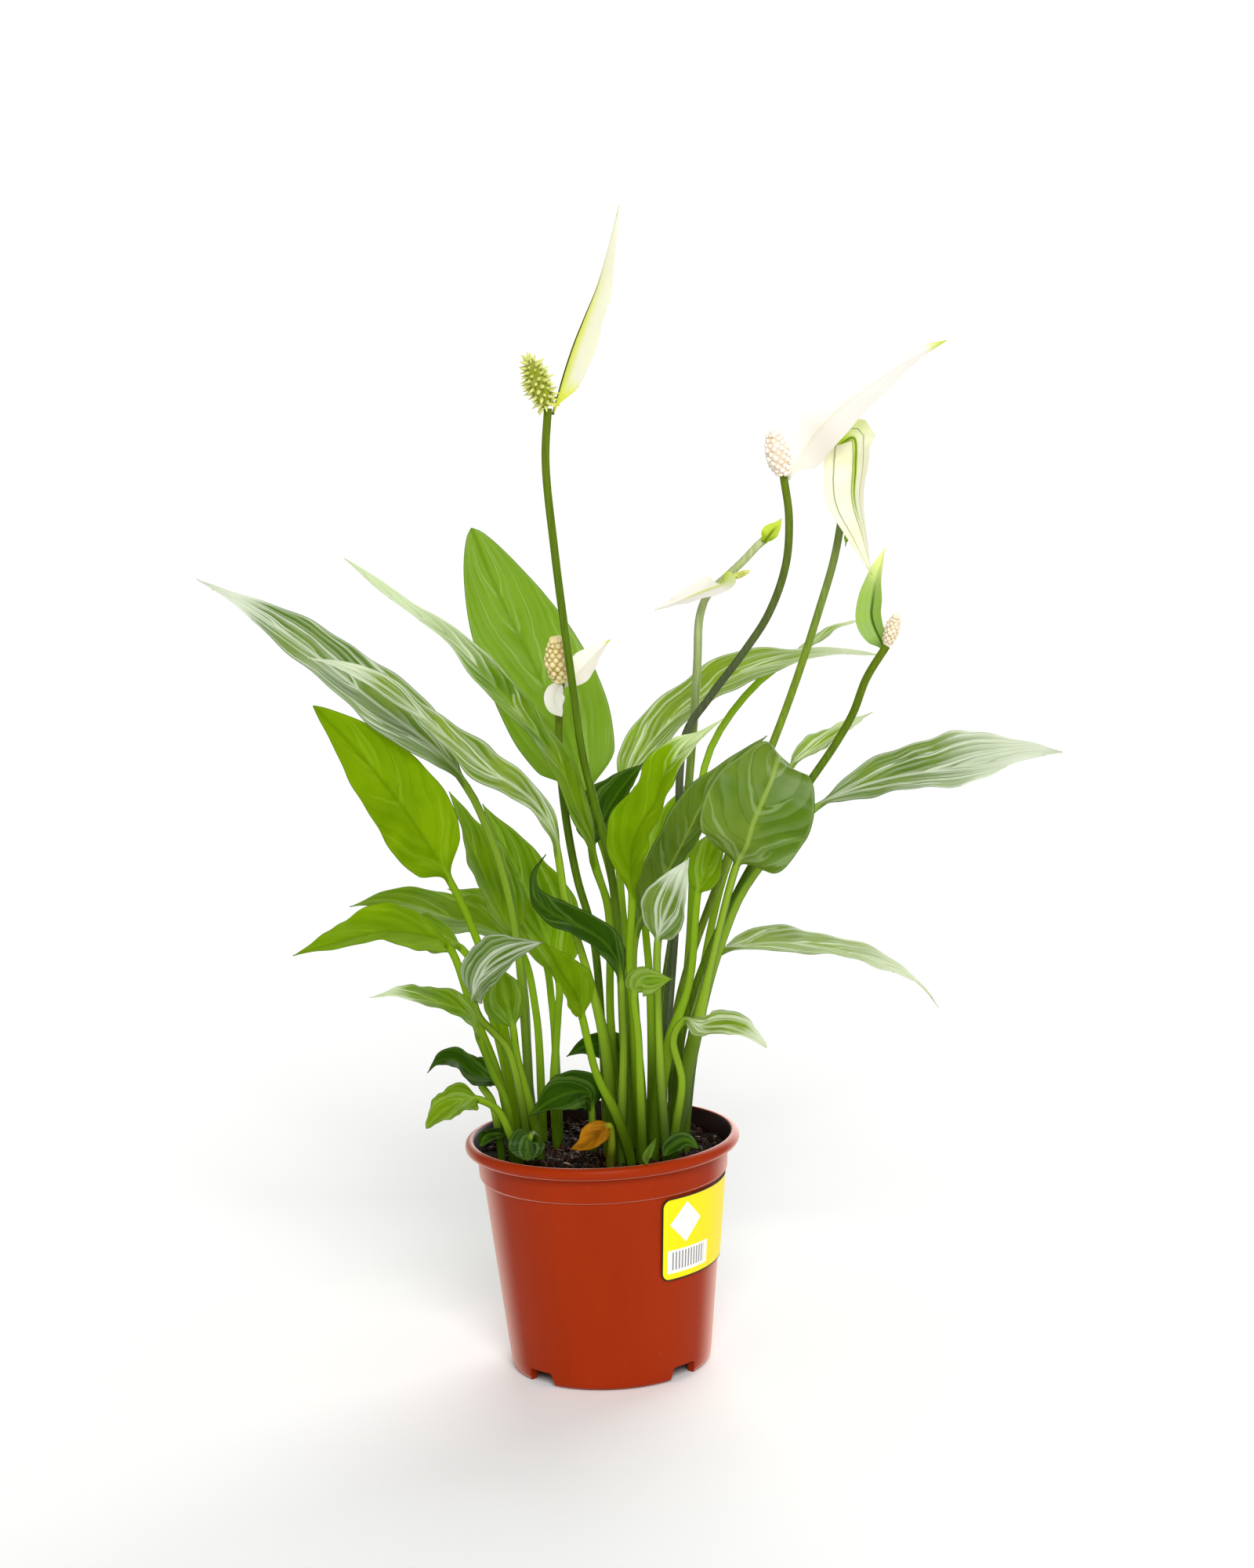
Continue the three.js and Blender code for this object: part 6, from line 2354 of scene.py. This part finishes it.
FLOWERS: tuple[Flower, ...] = (
    Flower(
        "flower_1", (11, -14),
        stem=((11, -13, 150), (11, -12, 189), (8, -10, 226), (3, -10, 250), (-1, -10, 270),
              (-4, -10, 300), (-9, -10, 358), (-11, -10, 395), (-9, -10, 417)),
        line=((-2, -8, 430), (3, -8, 443), (8, -8, 454), (14, -10, 467), (19, -12, 482),
              (24, -14, 499)),
        width=44, face=(78, 84), fold=-14, spadix_tip=(-16, -14, 437), spadix_radius=4.3,
        spathe_look=SpatheLook.LEMON, stem_look=StemLook.FRESH, spadix_look=SpadixLook.GREEN,
        pointed=True, girth=0.66,
    ),
    Flower(
        "flower_2", (25, -7),
        stem=((31, -4, 152), (36, 10, 190), (39, 20, 218), (44, 22, 272), (55, 22, 288),
              (71, 20, 308), (82, 18, 324), (90, 15, 345), (92, 13, 366), (90, 10, 384)),
        line=((96, 17, 388), (104, 15, 400), (115, 12, 411), (129, 8, 421), (145, 4, 431),
              (160, 0, 438)),
        width=30, face=(40, 58), fold=8, spadix_tip=(86, 7, 402), spadix_radius=5.0,
        spathe_look=SpatheLook.HOOD, stem_look=StemLook.OLIVE, spadix_look=SpadixLook.BLUSH,
        girth=0.66,
    ),
    Flower(
        "flower_3", (31, 11),
        stem=((35, 16, 150), (60, 20, 217), (80, 22, 262), (92, 25, 290), (104, 27, 322),
              (113, 27, 350), (117, 27, 376), (115, 26, 397)),
        line=((121, 14, 398), (121, 12, 386), (120, 12, 373), (123, 8, 357), (126, 4, 340)),
        width=27, face=(-160, -130), fold=30, spadix_tip=(107, 27, 408), spadix_radius=4.2,
        spathe_look=SpatheLook.DROOPING, stem_look=StemLook.SAGE, spadix_look=SpadixLook.BEIGE,
        girth=0.72,
    ),
    Flower(
        "flower_4", (31, -6),
        stem=((38, -9, 152), (66, -4, 212), (95, 1, 251), (108, 4, 268), (116, 4, 281),
              (122, 2, 296), (131, 0, 310)),
        line=((126, 10, 321), (127, 13, 329), (129, 14, 339), (133, 14, 351)),
        width=14, face=(26, 40), fold=28, spadix_tip=(135, -5, 323), spadix_radius=3.0,
        spathe_look=SpatheLook.GREENED, stem_look=StemLook.FRESH, spadix_look=SpadixLook.BEIGE,
        girth=0.85,
    ),
    Flower(
        "flower_5", (24, 11),
        stem=((28, 14, 148), (39, 31, 204), (48, 36, 273), (51, 37, 302), (53, 37, 323),
              (57, 37, 332), (66, 37, 340), (74, 37, 347), (79, 37, 352), (84, 37, 356)),
        line=((86, 32, 359), (88, 32, 361), (90, 33, 364)),
        width=8, face=(170, 176), fold=24, spadix_tip=(89, 39, 361), spadix_radius=1.5,
        spathe_look=SpatheLook.BUD, stem_look=StemLook.PALE, spadix_look=SpadixLook.GREEN,
        girth=0.55,
    ),
    Flower(
        "flower_6", (27, 5),
        stem=((30, 8, 150), (39, 22, 206), (48, 29, 274), (51, 30, 303), (53, 30, 324),
              (57, 30, 333), (62, 30, 336), (66, 30, 339)),
        line=((62, 22, 337), (55, 20, 335), (46, 19, 332), (33, 18, 328)),
        width=15, face=(-54, -64), fold=14, spadix_tip=(75, 30, 342), spadix_radius=1.5,
        spathe_look=SpatheLook.OPENING, stem_look=StemLook.PALE, spadix_look=SpadixLook.GREEN,
        girth=0.5,
    ),
    Flower(
        "flower_7", (2, -10),
        stem=((2, -8, 112), (2, 2, 145), (0, 9, 188), (-6, 12, 214), (-10, 13, 245),
              (-11, 12, 275), (-9, 7, 300)),
        line=((-1, 14, 303), (3, 16, 307), (7, 17, 311), (13, 18, 316)),
        width=14, face=(24, 46), fold=18, spadix_tip=(-10, 3, 319), spadix_radius=5.6,
        spathe_look=SpatheLook.HOOD, stem_look=StemLook.FRESH, spadix_look=SpadixLook.CREAM,
        girth=0.66,
    ),
)


# ------------------------------------------------------------------------------ studio


@dataclass(frozen=True)
class Studio:
    """Camera at the photograph's angle, pale paper floor and soft high-key light.

    The camera's places are millimetres from the foot of the pot's axis; the floor's
    sizes are metres.
    """

    distance: float = 1300.0
    eye_height: float = 447.0
    pitch_deg: float = 8.39
    yaw_deg: float = 0.77
    roll_deg: float = -2.46
    focal_mm: float = 70.236
    ambient: float = 0.37
    backdrop: float = 1.15
    floor_half: float = 6.0
    floor_cells: int = 12
    floor_sink: float = 0.0004

    def camera(self) -> bpy.types.Object:
        """Place the camera and make it the scene's own.

        Returns:
            The camera object.
        """
        pitch, yaw, roll = (math.radians(a) for a in (self.pitch_deg, self.yaw_deg, self.roll_deg))
        ahead = Vector((math.sin(yaw) * math.cos(pitch), math.cos(yaw) * math.cos(pitch),
                        -math.sin(pitch)))
        level = Vector((math.cos(yaw), -math.sin(yaw), 0.0))
        above = level.cross(ahead)
        right = level * math.cos(roll) + above * math.sin(roll)
        up = above * math.cos(roll) - level * math.sin(roll)
        data = bpy.data.cameras.new("portrait_camera")
        data.lens, data.sensor_width, data.clip_end = self.focal_mm, 36.0, 50.0
        camera = bpy.data.objects.new("portrait_camera", data)
        turn = Matrix((right, up, -ahead)).transposed().to_4x4()
        eye = metres(np.array([0.0, -self.distance, self.eye_height]))
        camera.matrix_world = Matrix.Translation(Vector(eye)) @ turn
        bpy.context.scene.collection.objects.link(camera)
        bpy.context.scene.camera = camera
        return camera

    def _window(self, name: str, azimuth_deg: float, elevation_deg: float, strength: float,
                spread_deg: float) -> None:
        """Shine soft light from a far, wide window.

        Args:
            name: name of the light.
            azimuth_deg: direction it comes from, 0 from the camera's side, 90 from the right.
            elevation_deg: height of the window above the floor.
            strength: light on a surface that faces it.
            spread_deg: how wide the window looks from the pot.
        """
        data = bpy.data.lights.new(name, "SUN")
        data.energy, data.angle = strength, math.radians(spread_deg)
        azimuth, elevation = math.radians(azimuth_deg), math.radians(elevation_deg)
        source = Vector((math.sin(azimuth) * math.cos(elevation),
                         -math.cos(azimuth) * math.cos(elevation), math.sin(elevation)))
        lamp = bpy.data.objects.new(name, data)
        lamp.rotation_euler = (-source).to_track_quat("-Z", "Y").to_euler()
        bpy.context.scene.collection.objects.link(lamp)

    def light(self) -> None:
        """Light the plant from behind, with a soft front fill in a white room."""
        world = bpy.data.worlds.new("white_room")
        world.use_nodes = True
        tree = world.node_tree
        tree.nodes.clear()
        seen = add_node(tree, "ShaderNodeLightPath", out="Is Camera Ray")
        level = add_node(
            tree, "ShaderNodeMapRange",
            {"Value": seen, "To Min": self.ambient, "To Max": self.backdrop},
        )
        glow = add_node(tree, "ShaderNodeBackground", {"Color": linear("#FFFFFF"), "Strength": level})
        add_node(tree, "ShaderNodeOutputWorld", {"Surface": glow})
        bpy.context.scene.world = world
        self._window("window_behind", 160.0, 20.0, 2.7, 60.0)
        self._window("front_fill", 6.0, 34.0, 2.3, 26.0)
        bpy.context.scene.view_settings.view_transform = "Standard"

    def floor(self) -> bpy.types.Object:
        """Lay the paper floor.

        Returns:
            The floor, which is part of the stage.
        """
        ticks = np.linspace(-self.floor_half, self.floor_half, self.floor_cells + 1)
        points = [(x, y, -self.floor_sink) for y in ticks for x in ticks]
        faces = quads(len(ticks), len(ticks), closed=False)
        mesh = bpy.data.meshes.new("paper_floor")
        mesh.from_pydata(points, [], faces)
        mesh.materials.append(material_of(PaperSweep()))
        floor = bpy.data.objects.new("paper_floor", mesh)
        bpy.context.scene.collection.objects.link(floor)
        return floor


# -------------------------------------------------------------------------------- main


def corners(box: Iterable[Iterable[float]]) -> list[list[float]]:
    """Write a box as plain lists of numbers."""
    return [[float(value) for value in corner] for corner in box]


def main() -> None:
    """Build the plant in order and report each piece."""
    logging.basicConfig(level=logging.INFO, format="%(name)s: %(message)s")
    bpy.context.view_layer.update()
    studio = Studio()
    studio.camera()
    studio.light()
    studio.floor()
    pot = NurseryPot()
    built = [pot.build(), Label(pot).build(), *PeatFill(pot).build()]
    built += [leaf.build() for leaf in LEAVES]
    built += [scrap.build() for scrap in SCRAPS]
    for flower in FLOWERS:
        built += flower.build()
    for piece in built:
        LOG.info("%s: %d faces", piece.name, len(piece.data.polygons))


if __name__ == "__main__":
    main()
